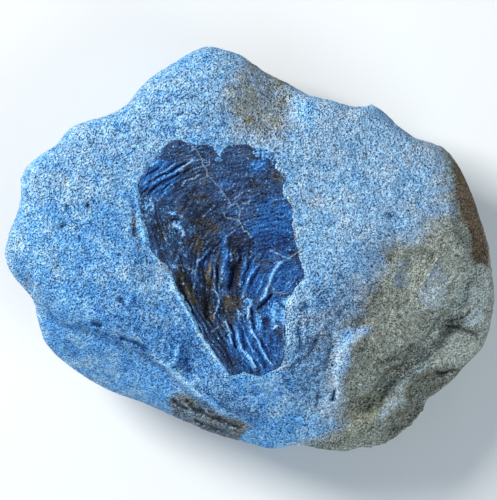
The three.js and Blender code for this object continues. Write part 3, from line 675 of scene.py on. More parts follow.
LINES = [
    # course, half width, height: plus is a raised edge, minus a groove
    ([(-31.8, -14.6), (-30.4, -15.2), (-29.2, -15.4)], 0.5, -0.7),
    ([(-26.3, -17.6), (-23.5, -18.6), (-20.2, -20.1)], 0.45, -0.8),
    ([(-19.4, -21.2), (-14.4, -25.3), (-12.5, -27.4), (-9.4, -29.7), (-5.7, -32.5), (-2.2, -33.1)],
      0.7, 0.7),
    ([(-14.2, -18.6), (-14.6, -21), (-15.2, -22.6), (-16.6, -23.6)], 0.6, 0.7),
    ([(-12.6, -21.4), (-13, -23.4), (-11.4, -25.4)], 0.9, -0.45),
    ([(38.6, -15.4), (39.2, -15.4), (40.9, -15.6), (42.7, -16.1), (44.1, -16.6), (45, -16.9),
      (46.3, -17.6)], 0.32, -1.0),
    ([(38.3, -14.9), (39.4, -14.3), (40.9, -14.1), (42.7, -13.6), (43.4, -12.8), (43.7, -11.5)],
      0.3, -0.6),
    ([(32.6, -18.9), (32.1, -19.6), (31.4, -20.6)], 0.35, -1.0),
    ([(32.2, -0.9), (32.4, -2.3), (32.6, -4), (32.2, -5.8), (32.7, -6.9)], 0.35, 0.25),
    ([(37.6, -1.8), (36.4, -2.8), (35.8, -4.5), (34.6, -5.8), (34.1, -6.9), (34, -8.3), (33.7, -9.8)],
      0.33, 0.35),
    ([(36.8, -7.4), (38, -7.3), (39, -6.9), (39.9, -6.3), (40.6, -5.2)], 0.35, 0.3),
    ([(29.6, -9.3), (30.8, -9.6), (32.2, -9.6), (33.7, -9.8)], 0.4, 0.25),
    ([(36.2, -24.4), (38.4, -25), (40.2, -24.5), (42.4, -24.3)], 0.4, -0.7),
    ([(-15.6, -5), (-14.9, -8.3), (-13.1, -10.9), (-11.8, -13.4), (-10.6, -16.2), (-9, -18.3),
      (-7.3, -20.9), (-5.9, -23.2), (-4.5, -25.6)], 0.8, 0.5),
    ([(23.6, -15.6), (21, -17.9), (19.4, -19.1), (17.6, -21.3), (16.9, -25), (17.3, -27.9),
      (16.7, -30.8)], 1.0, 0.6),
    ([(15.6, -16), (16.2, -19.4), (15, -22.5), (14.4, -25.5)], 0.5, -0.35),
    ([(13.7, -27.8), (13.3, -29.5), (12.9, -32)], 0.3, -0.35),
    ([(16.7, -27.8), (16.3, -30.4)], 0.35, -1.0),
    ([(6.6, -24), (8.6, -23.2), (11.4, -21.2), (12.8, -18.6), (14.2, -15.8)], 0.4, -0.35),
    ([(8.4, -16.8), (8.7, -18.6), (8.6, -20.6)], 0.3, 0.35),
    ([(10.3, -13), (10.5, -16), (10.6, -19)], 0.3, 0.35),
    ([(12.4, -12.4), (12.2, -15), (12.8, -17.4)], 0.3, 0.3),
    ([(9.5, -14), (9.6, -17), (9.8, -20.4)], 0.3, -0.4),
    ([(5.4, 33.8), (7.6, 33), (9.6, 31.9)], 0.5, -0.8),
    ([(-14.9, 25.9), (-13, 26.6)], 0.35, -0.6),
    ([(-23.4, 9.4), (-23.3, 6), (-22.7, 1.6)], 0.5, -0.5),
    ([(-22, 5.6), (-21.3, 3.2), (-20.6, 0.6)], 0.45, 0.45),
    ([(-41.6, -4), (-43.2, -8.6), (-44, -10)], 0.6, 0.45),
    ([(-16, -30.2), (-14.2, -31.4), (-12.4, -32.4)], 0.4, -0.9),
    ([(-13.6, -29.8), (-11.4, -31.8), (-9, -33.2)], 0.4, -0.9),
    ([(-10.8, -31.4), (-8.4, -33.4), (-5.4, -34.8)], 0.4, -0.9),
    ([(-7.6, -33), (-4.6, -34.6), (-1.6, -35.8)], 0.4, -0.8),
    ([(-12, -34), (-8.6, -35.6), (-4.6, -36.8)], 0.4, -0.7),
]
PITS = [
    # centre, radii, turn, height: minus is a pit, plus a swelling
    ((-37.4, 4.2), (1.3, 0.6), 0.4, -0.9), ((-36.3, 7.9), (0.4, 0.8), 0.3, -0.8),
    ((-32.4, 8.3), (0.4, 0.9), 0.2, -0.9), ((-31.2, 9.2), (0.4, 0.8), 0.6, -0.6),
    ((-34.3, 4), (0.5, 0.6), 0, -0.6), ((-25.7, -10.4), (0.8, 0.7), 0, -0.9),
    ((-24.5, -10.4), (0.6, 0.9), 0.3, 0.5), ((-20.6, -7.9), (1.8, 1.2), 0.5, 0.5),
    ((21.6, -14.6), (1.9, 1.1), 0.5, -0.6), ((26.2, -1.4), (1.9, 1.3), 0, -0.4),
    ((-45.2, -6.6), (1.9, 2.4), 0.7, -0.7), ((-13, -36), (3.2, 1.0), -0.45, -0.9),
    ((-6, -37.3), (3.0, 0.9), -0.3, -0.7), ((24.6, 3.6), (1.0, 4.0), 0.1, 0.5),
    ((43.2, 11), (1.3, 2.4), 0.1, -0.5), ((11.2, -11.4), (0.9, 0.8), 0, -0.6),
    ((22.8, 17.8), (1.2, 0.9), 0, -0.4), ((31, 13), (1.6, 1.0), 0.6, -0.4),
    ((18, 23), (1.6, 1.1), 0.2, -0.4),
]

# %% [markdown]
# Each line is added to the lift of the vertices beside it. Its strength is also kept as a number
# on them, which the material uses as painted shade in a groove and a painted highlight on a raised edge.

# %% Carve the lines
spots = places(rock)
on_top = soft_step(0.05, 0.4, facing(rock)[:, 2]) * soft_step(11.5, 14, spots[:, 2])
drawn = spots + 0.3 * sway(spots, 2.6, (21, 25), rough)

lift, painted_shade_and_edge_light = np.zeros(len(spots)), np.zeros(len(spots))
for route, width, height_there in LINES:
    lift += height_there * ridge(drawn, route, width)
    painted_shade_and_edge_light += height_there * ridge(drawn, route, width * 0.8)
for centre, radii, turn, height_there in PITS:
    lift += height_there * dent(drawn, centre, radii, turn)
broken = np.clip(0.5 + 0.8 * rough(spots, 2.2, 28), 0, 1)
for route, drop, face, reach in LEDGES:
    distance, share = off_line(drawn, route)
    lift += (0.8 + 0.5 * broken) * ledge(distance, share, drop, face, reach)
    # painted shade at the foot of each ledge's face
    shaded = np.exp(-(((distance - 0.7 * face) / (0.25 + 0.25 * face)) ** 2)) * (0.25 + 0.6 * broken)
    painted_shade_and_edge_light -= drop * 0.8 * shaded * faded_ends(share)
mark(rock, "painted_shade_and_edge_light", painted_shade_and_edge_light)
print("ledges:", len(LEDGES), "lines:", len(LINES), "pits and swellings:", len(PITS))

# %% [markdown]
# ### Bedding and grain
#
# Between the drawn breaks the surface is uneven in a way that belongs to the rock: soft swells a
# few millimetres across, crumbs of a millimetre or so, and on the lower right short streaks
# where the layers broke away. The crumbs are strongest left of the shell. The facets that broke
# last are smooth, and their outlines are kept because they also have tints of their own.

# %% Where the rock is smooth or freshly broken
BEVEL = [(-48, -9), (-43, -11), (-40, -12), (-37.5, -14.8), (-32.5, -16), (-25, -19), (-20, -21.6),
         (-16, -24.5), (-13, -28), (-16, -29), (-17, -34), (-24, -42), (-60, -42), (-60, -9)]
FACETS = [
    # outline of a freshly broken facet, and the tints that it has; a dark share above 0 is painted shade
    # on a face turned from the key lamp, below 0 painted light on a facet in shade
    ([(28.6, -8.6), (28.7, -4.8), (29.5, -2.8), (31, -1.6), (32, -1.4), (32.3, -8.6)], {"olive": 0.9}),
    ([(34.6, -8.4), (34.9, -6), (36.4, -4.2), (37.2, -2.6), (40, -2.6), (41.6, -4.6), (39.6, -7.4)],
      {"olive": 0.95}),
    ([(36.8, -16.6), (40, -16.2), (43, -17), (46.4, -17.6), (46.4, -20.4), (43.4, -22.6), (41, -23.4),
      (37.4, -23.6), (36.4, -21.5), (35.6, -19)], {"olive": 1.15, "yellow": 0.4, "dark": -0.8}),
    ([(27.4, -30.2), (29.6, -29.6), (31.2, -29.8), (31.4, -31), (29.6, -32.2), (28.2, -33.2),
      (26.8, -34.6), (25.8, -34), (26.6, -31.6)], {"olive": 0.95, "dark": -0.9}),
    ([(28.6, -26.9), (30.6, -25.2), (33.4, -24.2), (35.4, -22.4), (36.2, -22.2), (35.8, -24),
      (33.4, -25.6), (31.4, -27.2), (31.4, -29), (29, -29.2)], {"olive": 0.95, "dark": -0.6}),
    ([(42.2, -14.8), (43.8, -13.6), (45.8, -11.6), (47, -11.4), (47.4, -13.6), (46.6, -16),
      (44.2, -15.9)], {"olive": 0.95, "dark": -0.9}),
    ([(33, -10), (34.4, -8.2), (36.6, -8), (39.8, -7.2), (40.2, -9.4), (39.6, -11.2), (38, -12.2),
      (36, -12)], {"olive": 0.85, "dark": -0.3}),
    ([*BOTTOM_EDGE, (46, -26), (38, -36), (28, -42)], {"olive": 1.2, "brown": 0.4, "dark": 0.8}),
    ([(41.4, -6), (43.8, -3.6), (48.6, -4), (48.6, -12), (46, -11.6), (43.6, -13.4), (40.6, -13.4),
      (40.8, -10)], {"olive": 1.05, "dark": -0.7}),
    ([(41, 18), (43.5, 18.5), (47, 8), (49, -4), (45, -2), (44.4, 4), (41.6, 10)],
      {"olive": 1.15, "brown": 1.0, "dark": 1.0}),
]
ROUGH_BREAK = [(-16.6, -29.6), (-13.6, -29), (-11.4, -29.8), (-9, -31.6), (-6, -33.2), (-2.6, -34),
               (0.5, -35.6), (-3, -39.5), (-9, -39), (-14.5, -36), (-16.4, -32)]
SMOOTH_AREAS = [
    BEVEL,
    [(-46, 6), (-44, 14), (-34, 22), (-24, 30), (-20, 36), (-30, 40), (-60, 30), (-60, 0)],
    [(-6, -26.4), (5, -25.6), (8, -28), (2, -31.4), (-4, -30.6)],
    *[loop for loop, tints in FACETS],
]


def inside_loop(where, loop):
    """Whether each place lies inside a closed loop in plan, by counting crossings."""
    crossings = np.zeros(len(where), bool)
    for (ax, ay), (bx, by) in zip(loop, np.roll(loop, -1, axis=0)):
        spans = (ay > where[:, 1]) != (by > where[:, 1])
        at_x = ax + (where[:, 1] - ay) * (bx - ax) / (by - ay + 1e-12)
        crossings ^= spans & (where[:, 0] < at_x)
    return crossings


def area(where, loop, edge=0.8):
    """1 inside a closed loop in plan and 0 outside, with a soft ragged border."""
    distance = np.abs(off_line(where, [*loop, loop[0]])[0])
    signed = np.where(inside_loop(where, np.array(loop, float)), distance, -distance)
    return soft_step(-edge, edge, signed + 0.5 * rough(where, 1.6, 66))


# %% Weather the surface
SWELL_LIFT, CRUMB_LIFT, GRAIN_LIFT = 0.28, 0.12, 0.10  # mm
HACKLY_CUT = 0.5  # mm, on the rough break

x, y, z = spots.T
smooth = np.max([area(spots, loop) for loop in SMOOTH_AREAS], axis=0)
mark(rock, "smooth", smooth)
lower_right = soft_step(6, 22, x - 0.7 * y - 8) * soft_step(4, -8, y)
crumbly = dent(spots, (-26, -3), (16, 12), 0.3) + dent(spots, (-18, -18), (9, 5), -0.5)
crumbly += 0.7 * dent(spots, (24, 4), (16, 14), 0.3)
turned = np.column_stack([(x + y) * 0.707, (y - x) * 0.707 * 2.6, z])
streaks = rough(turned, 3.0, 31)
hackly = 1 - 2.2 * np.abs(lumps(turned, 2.2, 34)) + 0.6 * lumps(turned, 1.1, 35)

grainy = 1 - 0.7 * smooth
lift += SWELL_LIFT * rough(spots, 7, 24)
lift += (CRUMB_LIFT + 0.13 * crumbly) * rough(spots, 1.9, 27) * grainy
lift += GRAIN_LIFT * rough(spots, 0.9, 40, 2) * grainy
rugged = np.clip(0.8 * lower_right + dent(spots, (15, -22), (6, 8)), 0, 1) * grainy
lift -= HACKLY_CUT * area(spots, ROUGH_BREAK, 0.6) * np.abs(hackly)
lift += (0.14 * streaks + 0.09 * hackly) * rugged
shaped = spots.copy()
shaped[:, 2] += lift * on_top
put(rock, shaped)
print("lift on top in mm:", round((lift * on_top).min(), 2), "to", round((lift * on_top).max(), 2))

# %% [markdown]
# The flanks and the underside are broken more coarsely, in shallow scallops with crests between
# them and with the bedding as level ledges. They are only ever cut in, never built out, and the
# rock is then stretched by the little that its outline lost, so that from above it fills the
# frame's box. The foot stays flat.

# %% Break the flanks and the underside
BEDDING_CUT, SCALLOP_CUT, FLANK_GRAIN = 0.42, 0.7, 0.22  # mm
BELOW_CUT, BELOW_GRAIN = 0.9, 0.25  # mm
LAYER_HEIGHT = 2.6  # mm of rock between two bedding ledges

spots = places(rock)
normals = facing(rock)
flank = soft_step(0.75, 0.3, np.abs(normals[:, 2])) * soft_step(1.0, 3.0, spots[:, 2])
below = soft_step(0.2, -0.2, normals[:, 2]) * soft_step(0.15, 1.2, spots[:, 2])
layer = spots[:, 2] / LAYER_HEIGHT + 0.25 * lumps(spots, 9, 51)
bedding = soft_step(0.25, 0.0, np.abs(layer - np.round(layer))) * (0.5 + 0.5 * lumps(spots, 7, 52))
scallops = np.abs(lumps(spots, 8, 54)) + 0.5 * np.abs(lumps(spots, 3.5, 55))
cut = BEDDING_CUT * bedding + SCALLOP_CUT * scallops + FLANK_GRAIN * (1 + rough(spots, 2.6, 53))
cut *= flank
cut += below * (BELOW_CUT * (1 + rough(spots, 8, 56)) + BELOW_GRAIN * (1 + rough(spots, 2.4, 57)))
cut *= 1 - on_top
moved = spots - normals * cut[:, None]
moved[:, 2] = np.maximum(moved[:, 2], 0)
wanted = np.array(cad_box)[:, :2] / MM
reached = np.stack([moved[:, :2].min(0), moved[:, :2].max(0)])
stretch = (wanted[1] - wanted[0]) / (reached[1] - reached[0])
moved[:, :2] = (moved[:, :2] - reached[0]) * stretch + wanted[0]
put(rock, moved)
print("outline stretched by", np.round(stretch, 4), "to meet the frame's")
print("cut into the flanks up to", round(cut.max(), 2), "mm")

# %% [markdown]
# ### Bedding the shell
#
# The rock must lie just under the valve inside the shell's outline and just over it outside, with
# a ragged line between the two. A ray cast straight down on the valve gives its height at every
# rock vertex near it, and the distance to the outline says how much rock is above or below.

# %% Measure the valve and its margin from the rock
BED_MIDDLE, BED_REACH, BED_FLOOR = (-5, -2), (29, 35), 14  # mm, the part of the rock to fit
rim_loop = np.concatenate([plan[0], plan[1:, -1], plan[-1, ::-1][1:], plan[::-1, 0][1:]])[::3]

spots = places(rock)
near = np.all(np.abs(spots[:, :2] - BED_MIDDLE) < BED_REACH, axis=1) & (spots[:, 2] > BED_FLOOR)
close = spots[near]
depth_map = BVHTree.FromObject(valve, bpy.context.evaluated_depsgraph_get())
straight_down = Vector((0, 0, -1))
hits = [depth_map.ray_cast(Vector((*spot * MM, 0.1)), straight_down)[0] for spot in close[:, :2]]
on_valve = np.array([hit.z / MM if hit is not None else np.nan for hit in hits])
from_rim, round_rim = off_line(close, np.vstack([rim_loop, rim_loop[:1]]))
outside = np.where(inside_loop(close, rim_loop), -1, 1) * np.abs(from_rim)
outside += 0.22 * lumps(close, 1.1, 61) + 0.12 * lumps(close, 0.6, 62)
print("rock vertices over the valve:", int(np.isfinite(on_valve).sum()), "of", len(close))

# %% [markdown]
# The copied rock stands a little too high or too low along parts of the margin. Its mean rise is
# measured in stretches along the margin and taken off gently over the last few millimetres.
# Small crusts of rock still stick to the shell, so in a few places the rock comes through on
# purpose.

# %% Press the bed and leave crusts on the shell
RIM_PARTS = 48  # stretches of the margin in which the rock's rise is averaged
SETTLES_FROM = 9  # mm off the margin where the rock begins to dip towards it
UNDER_VALVE = 0.5  # mm that the hidden rock lies below the valve's face
MOST_CRUST = 0.9  # mm, the height of the thickest crust above the hidden rock
CRUSTS = [
    # centre, radii, turn, thickness in mm
    ((8.2, -10.4), (1.1, 0.6), 0.1, 0.5), ((6.9, 12.6), (0.6, 0.5), 0, 0.5),
    ((7.4, -13.2), (0.7, 1.2), 0.1, 0.4), ((-13.8, 15.2), (0.4, 0.35), 0, 0.35),
    ((-11.2, 13.9), (0.35, 0.3), 0, 0.3),
]

flush = crown(close) - MARGIN_DROP - SHELL_DEPTH * bowl(close)
rises = close[:, 2] - flush
beside = (outside > 0.3) & (outside < 2.5)
parts = np.floor(round_rim * RIM_PARTS).astype(int) % RIM_PARTS
in_part = np.bincount(parts[beside], minlength=RIM_PARTS)
step_up = np.bincount(parts[beside], rises[beside], RIM_PARTS) / np.maximum(in_part, 1)
step_up = sum(np.roll(step_up, shift) for shift in (-2, -1, 0, 1, 2)) / 5
settle = np.interp(round_rim * RIM_PARTS - 0.5, np.arange(RIM_PARTS), step_up, period=RIM_PARTS)
settled = close[:, 2] - 0.9 * settle * soft_step(SETTLES_FROM, 0.5, outside)
lip = (0.12 + 0.15 * lumps(close, 1.4, 64)) * soft_step(2.2, 0.4, outside)
bank = np.where(outside < 2, np.maximum(settled, flush - 0.1), settled) + lip
fitted = on_valve - UNDER_VALVE + (bank - on_valve + UNDER_VALVE) * soft_step(-0.2, 0.25, outside)
print("rock stood over the margin by", np.round(np.percentile(step_up, [0, 50, 100]), 2), "mm")
crust = sum(thick * 2.2 * dent(close, centre, radii, turn) for centre, radii, turn, thick in CRUSTS)
crust *= 1 + 0.7 * rough(close, 0.9, 63, 2)
crusted = on_valve - UNDER_VALVE + np.minimum(crust, MOST_CRUST)
fitted = np.where(np.isnan(on_valve), bank, np.maximum(fitted, crusted))
spots[near, 2] = fitted
put(rock, spots)
# painted highlight along the rock's edge where it meets the shell, strongest on the lower left, with one
# more light spot on the left margin
painted_rim_highlight = np.zeros(len(spots))
lower_left = soft_step(-3, -9, close[:, 0]) * soft_step(11, 6, close[:, 1])
painted_rim_highlight[near] = np.exp(-(((outside - 0.4) / 0.45) ** 2)) * (0.3 + 0.9 * lower_left)
painted_rim_highlight[near] += 1.2 * dent(close, (-21.2, 2.6), (0.8, 1.6), 0.1)
mark(rock, "painted_rim_highlight", painted_rim_highlight)
finish_modifier(rock, "SMOOTH", factor=0.35, iterations=1)
bpy.ops.object.shade_smooth()
print("bed fitted at", int(near.sum()), "vertices")

# %% [markdown]
# ## Shader maths as expressions
#
# Materials are node trees, and most of their nodes only do arithmetic. A small class wraps a
# socket so that arithmetic can be written as it is spoken, and one method adds every other kind
# of node.

# %% Sockets as values
class Wire:
    """An output socket. Sums and products with it add Math nodes to its tree."""

    def __init__(self, tree, socket):
        self.tree, self.socket = tree, socket

    def maths(self, operation, first, second):
        sockets = {"Value": first, "Value_001": second}
        return add_node(self.tree, "ShaderNodeMath", {"operation": operation}, sockets)

    def __add__(self, other):
        return self.maths("ADD", self, other)

    __radd__ = __add__

    def __sub__(self, other):
        return self.maths("SUBTRACT", self, other)

    def __rsub__(self, other):
        return self.maths("SUBTRACT", other, self)

    def __mul__(self, other):
        return self.maths("MULTIPLY", self, other)

    __rmul__ = __mul__

    def clamped(self, lowest=0.0, highest=1.0):
        return self.maths("MAXIMUM", self.maths("MINIMUM", self, highest), lowest)

    def part(self, name):
        """The red, green or blue of a colour, as a number."""
        return add_node(self.tree, "ShaderNodeSeparateColor", {}, {"Color": self}, name)

    def step(self, start, end):
        """0 up to start, 1 from end on, eased between."""
        settings = {"interpolation_type": "SMOOTHSTEP"}
        sockets = {"Value": self, "From Min": start, "From Max": end}
        return add_node(self.tree, "ShaderNodeMapRange", settings, sockets, "Result")


def socket_of(sockets, name):
    """A socket by its place, its identifier or its name."""
    if isinstance(name, int):
        return sockets[name]
    return next((socket for socket in sockets if socket.identifier == name), None) or sockets[name]


def add_node(tree, kind, settings=None, sockets=None, output=0):
    """Add a node: its settings first, then the values or links of its sockets. Give an output."""
    node = tree.nodes.new(kind)
    for name, value in (settings or {}).items():
        setattr(node, name, value)
    for name, value in (sockets or {}).items():
        entry = socket_of(node.inputs, name)
        if isinstance(value, Wire):
            tree.links.new(value.socket, entry)
        else:
            entry.default_value = value
    return Wire(tree, socket_of(node.outputs, output))


class Finish:
    """A material being built: colour patterns in mm on the piece, and a surface at the end."""

    def __init__(self, name):
        self.material = bpy.data.materials.new(name)
        self.material.use_nodes = True
        self.tree = self.material.node_tree
        self.tree.nodes.clear()
        self.place = add_node(self.tree, "ShaderNodeTexCoord", output="Object")

    def scaled(self, across, vector=None):
        """The place in units of that many mm along X, Y and Z."""
        scale = [1 / (size * MM) for size in across]
        sockets = {"Vector": vector or self.place, "Scale": scale}
        return add_node(self.tree, "ShaderNodeMapping", {}, sockets, "Vector")

    def noise(self, size, detail=2.0, roughness=0.5, shift=0.0, vector=None):
        """Cloudy unevenness, from 0 to 1, with patches about that many mm across."""
        across = size if isinstance(size, tuple) else (size, size, size)
        sockets = {"Vector": self.scaled(across, vector), "Vector_001": (shift,) * 3}
        moved = add_node(self.tree, "ShaderNodeVectorMath", {"operation": "ADD"}, sockets, "Vector")
        sockets = {"Vector": moved, "Scale": 1.0, "Detail": detail, "Roughness": roughness}
        return add_node(self.tree, "ShaderNodeTexNoise", {}, sockets, "Fac")

    def grains(self, size):
        """Cells about that many mm across, each with a number of its own from 0 to 1."""
        sockets = {"Vector": self.scaled((size, size, size)), "Scale": 1.0}
        return add_node(self.tree, "ShaderNodeTexVoronoi", {}, sockets, "Color").part("Red")

    def marked(self, name):
        """A number stored on the vertices."""
        return add_node(self.tree, "ShaderNodeAttribute", {"attribute_name": name}, {}, "Fac")

    def blend(self, under, over, share):
        """Lay one colour over another by a share."""
        sockets = {"Factor_Float": share, "A_Color": under, "B_Color": over}
        return add_node(self.tree, "ShaderNodeMix", {"data_type": "RGBA"}, sockets, "Result_Color")

    def bump(self, height, distance):
        """Relief finer than the mesh, where a height of 1 stands for that many mm."""
        sockets = {"Height": height, "Strength": 1.0, "Distance": distance * MM}
        return add_node(self.tree, "ShaderNodeBump", {}, sockets, "Normal")

    def surface(self, **sockets):
        """The shader with those sockets set or linked, which makes the material complete."""
        named = {name.replace("_", " "): value for name, value in sockets.items()}
        shader = add_node(self.tree, "ShaderNodeBsdfPrincipled", {}, named, "BSDF")
        out = self.tree.nodes.new("ShaderNodeOutputMaterial")
        self.tree.links.new(shader.socket, out.inputs["Surface"])
        return self.material


def colour(red, green, blue):
    """A colour as it shows on a screen, 0 to 255, turned into light."""

    def light(level):
        level /= 255
        return level / 12.92 if level <= 0.04045 else ((level + 0.055) / 1.055) ** 2.4

    return (light(red), light(green), light(blue), 1.0)


# %% [markdown]
# ### Hollows
#
# The materials paint shade into hollows and light onto raised grains: painted shade and painted
# highlight. How hollow the surface is at a vertex follows from its neighbours: if their mean lies in
# front of it, it sits in a hollow. The number is stored on the vertices for the material.

# %% Measure hollows
def hollowness(piece, spread):
    """How far a vertex lies behind its neighbours, in mm, averaged over a few rings."""
    where, normal = places(piece), facing(piece)
    ends = np.empty(len(piece.data.edges) * 2, np.int32)
    piece.data.edges.foreach_get("vertices", ends)
    a, b = ends.reshape(-1, 2).T
    number = np.bincount(a, minlength=len(where)) + np.bincount(b, minlength=len(where))

    def neighbours(values):
        return np.bincount(a, values[b], len(where)) + np.bincount(b, values[a], len(where))

    smoothed = where.copy()
    for _ in range(spread):
        means = np.stack([neighbours(smoothed[:, k]) for k in range(3)], axis=1) / number[:, None]
        smoothed = 0.5 * smoothed + 0.5 * means
    return np.sum((smoothed - where) * normal, axis=1)


for piece, rings in ((rock, 8), (valve, 6)):
    hollow = hollowness(piece, rings)
    mark(piece, "hollow", hollow)
    print(piece.name, "hollows in mm:", hollow.min().round(2), "to", hollow.max().round(2))

# %% [markdown]
# ### Where the colours lie
#
# The worn top is blue-grey, and the lower right, where fresher layers are bared, is olive. Rust
# has stained some broken facets and two seams near the shell. A stain has no relief of its own, so
# each tint is only a number on the vertices: how much of it there is. The number is put together
# from ragged patches, and inside the outline of a facet it takes that facet's level. The deep blue
# tint is painted shade where the light falls off, and the dark tint is partly painted shade, on
# faces turned from the key lamp, and partly darker patches.

# %% Borders, seams and patches of the rock's tints
OLIVE_BORDER = [(10, -44), (16, -33), (17.5, -28), (19.6, -20), (20.4, -16), (22.5, -8), (26.4, -3.5),
                (27.8, 0), (33.4, 3), (39.8, 8), (40.5, 13), (40, 20), (36, 26)]
RUSTY_SEAMS = [
    # course, half width, strength
    ([(5.6, 17.4), (7.2, 14), (7.9, 11.6), (8.6, 8), (8.7, 4.4), (9.2, 1.6), (9.9, -1)], 0.5, 0.6),
    ([(6.6, -24.2), (8.8, -23.3), (11.6, -21.3), (13, -18.6), (14.4, -15.8)], 0.6, 0.5),
]
TINTS = {
    # centre, radii, turn, strength: plus raises the share at least to that, minus takes from it
    "olive": [
        ((2.4, 29), (8.5, 10.5), 0.35, 0.85), ((-17.5, 6), (1.6, 9), 0, 0.2),
        ((11.5, 28), (2.6, 3.6), 0.3, -0.6), ((6, -36.5), (13, 2.6), 0.1, -0.7),
        ((21, -16.8), (3.4, 1.2), 0.3, -0.5), ((18.6, -22), (1.4, 5), -0.2, -0.6),
    ],
    "brown": [
        ((43.6, 10.5), (3.2, 8.5), -0.1, 0.6), ((-44.7, -7.4), (1.8, 2.8), 0.6, 0.5),
        ((1.6, 35.2), (4.0, 1.8), -0.7, 0.5), ((-4.4, 26.6), (1.6, 0.7), 0.2, 0.6),
        ((0.4, 26.4), (1.6, 0.9), 0.6, 0.6), ((21.4, -14.8), (1.9, 1.2), 0.5, 0.6),
        ((30.5, -24.6), (1.6, 4.5), -0.75, 0.4), ((-28.5, -35.5), (4.5, 0.9), -0.6, 0.6),
        ((-30.5, -16.4), (1.8, 1.2), -0.4, 0.45), ((-22.6, 2.2), (0.7, 3.2), 0.1, 0.8),
        ((-32.3, 8.6), (0.9, 1.1), 0, 0.5), ((-12.4, -22.6), (1.8, 2.6), 0.1, 0.4),
        ((12, -15.5), (2.6, 6.5), 0.15, 0.4), ((17, -5), (5, 4), 0.4, 0.25),
        ((-18.4, -3), (2.6, 2.4), 0.3, 0.35), ((-23.2, 5.6), (0.5, 3.4), 0.1, 0.8),
        ((13, -34), (7, 2.4), 0, 0.35), ((-12, -18), (2.4, 5), 0.5, 0.25),
    ],
    "yellow": [
        ((23.5, -33), (3, 7), -0.6, 0.7), ((6.9, 31), (1.5, 3.6), 0.3, 0.6),
        ((40, -20), (3, 4), 0.1, 0.6), ((38, -24), (5, 2), 0.3, 0.4),
    ],
    # partly painted shade, on faces turned from the key lamp and on the low ground below the shell, and
    # partly darker patches of the rock
    "dark": [
        ((14, -12.5), (5, 5), 0, 0.9), ((-4, -32), (8, 3), -0.25, 1.3),
        ((-20, -16), (10, 6), -0.5, 0.8), ((-11, -21), (5, 6), -0.3, 0.5), ((-3, -28), (6, 3), 0, 0.6),
        ((-21.5, -3), (2.6, 6), -0.3, 0.5), ((25, -0.5), (5, 3), 0, 0.3),
        ((43, 10.5), (2.6, 7.5), -0.1, 0.4), ((26, -21.5), (6, 5), 0.4, 0.2),
        ((28.6, -24.6), (1.6, 5), -0.9, 0.6), ((8, -10.3), (1.5, 0.9), 0, -1.4),
        ((21, -16.8), (3.4, 1.2), 0.3, -0.4), ((18.4, -22), (1.3, 5), -0.2, -0.5),
        ((2.4, 29), (7.5, 9.5), 0.35, 0.3), ((-30, -20), (18, 5), -0.4, 0.35),
        ((10.4, -11.4), (1.1, 1.1), 0, 2.6), ((11, -23), (5, 7), -0.3, 1.5),
        ((20, -10), (7, 7), 0, 0.7), ((5, -37.5), (8, 2.4), 0.1, -0.8), ((12, 28), (4, 4), 0.3, -0.5),
        ((22, 10), (14, 14), 0, -0.15), ((-38, -2), (8, 9), 0, -0.2),
    ],
    # painted shade: a deeper blue where the light falls off, mostly on the left and lower left
    "deep_blue_shade": [
        ((-21.8, 6.5), (0.9, 5), 0, 1.8), ((10.4, -11.4), (1.3, 1.2), 0, 2.0),
        ((-33, 2), (8, 8), 0, 0.8), ((-30, -14), (16, 7), -0.4, 0.9), ((-13, -20), (8, 8), 0, 0.2),
        ((-34, -20), (12, 5), -0.4, 0.5), ((18, -4), (5, 5), 0, 0.3), ((14, -8), (4, 8), 0, 0.5),
        ((8, -30), (8, 6), 0, 0.5), ((-24, 22), (14, 7), 0.6, -0.8), ((-36, 18), (10, 6), 0.5, -0.8),
    ],
}
SUMMED_TINTS = ("dark", "deep_blue_shade")  # patches of these add up, also where they are above 0


def patch(where, centre, radii, turn, seed):
    """A patch with a soft, ragged border: 1 inside and 0 well outside."""
    spread = dent(where, centre, radii, turn) * (1 + 0.45 * rough(where, 2.5, seed))
    return soft_step(0, 0.87, spread)


def tint(share, tints, where, seed):
    """Raise or lower the numbers in share by ragged patches."""
    for name, patches in tints.items():
        for centre, radii, turn, strength in patches:
            there = strength * patch(where, centre, radii, turn, seed)
            if strength > 0 and name not in SUMMED_TINTS:
                share[name] = np.maximum(share[name], there)
            else:
                share[name] = share[name] + there


# %% Tint the rock
MOST_DARK, MOST_TINT = 2.4, 1.2  # the largest share of the dark tint, and of any other

spots = places(rock)
x, y = spots.T[:2]
wobble = 1.2 * sway(spots, 2.5, (72, 73)) + 1.1 * sway(spots, 7, (74, 75))
past_border = off_line(spots + wobble, OLIVE_BORDER)[0]
share = {name: np.zeros(len(spots)) for name in TINTS}
share["olive"] += 0.30 * soft_step(-4, 14, x) + 0.10 * soft_step(8, 22, y) * soft_step(-16, -6, x)
share["olive"] += (1.2 - share["olive"]) * soft_step(-6.0, 5.0, past_border)
tint(share, TINTS, spots, 70)
for route, width, strength in RUSTY_SEAMS:
    seam = strength * np.exp(-((off_line(spots, route)[0] / width) ** 2))
    share["brown"] = np.maximum(share["brown"], seam)
for loop, tints in [*FACETS, (ROUGH_BREAK, {"olive": 0.8, "brown": 0.1, "dark": 0.9})]:
    within = area(spots, loop, 0.5)
    for name, level in tints.items():
        share[name] = share[name] + (level - share[name]) * within
for name, values in share.items():
    mark(rock, name, np.clip(values, -1, MOST_DARK if name == "dark" else MOST_TINT))
print("mean share:", {name: round(float(values.mean()), 2) for name, values in share.items()})

# %% [markdown]
# ### Sandstone
#
# Close up, the rock is a packing of half-millimetre grains that stand out like crumbs, with a few
# pits and brown specks between them. Most of what the eye sees is the shading of the crumbs, so
# their relief is a bump of smooth noise, about half a millimetre across and nothing finer. Its
# tops are cut level, as on a worn stone, so pits are sharper than crumbs. The colours vary only a
# little from grain to grain. The larger relief is in the mesh.

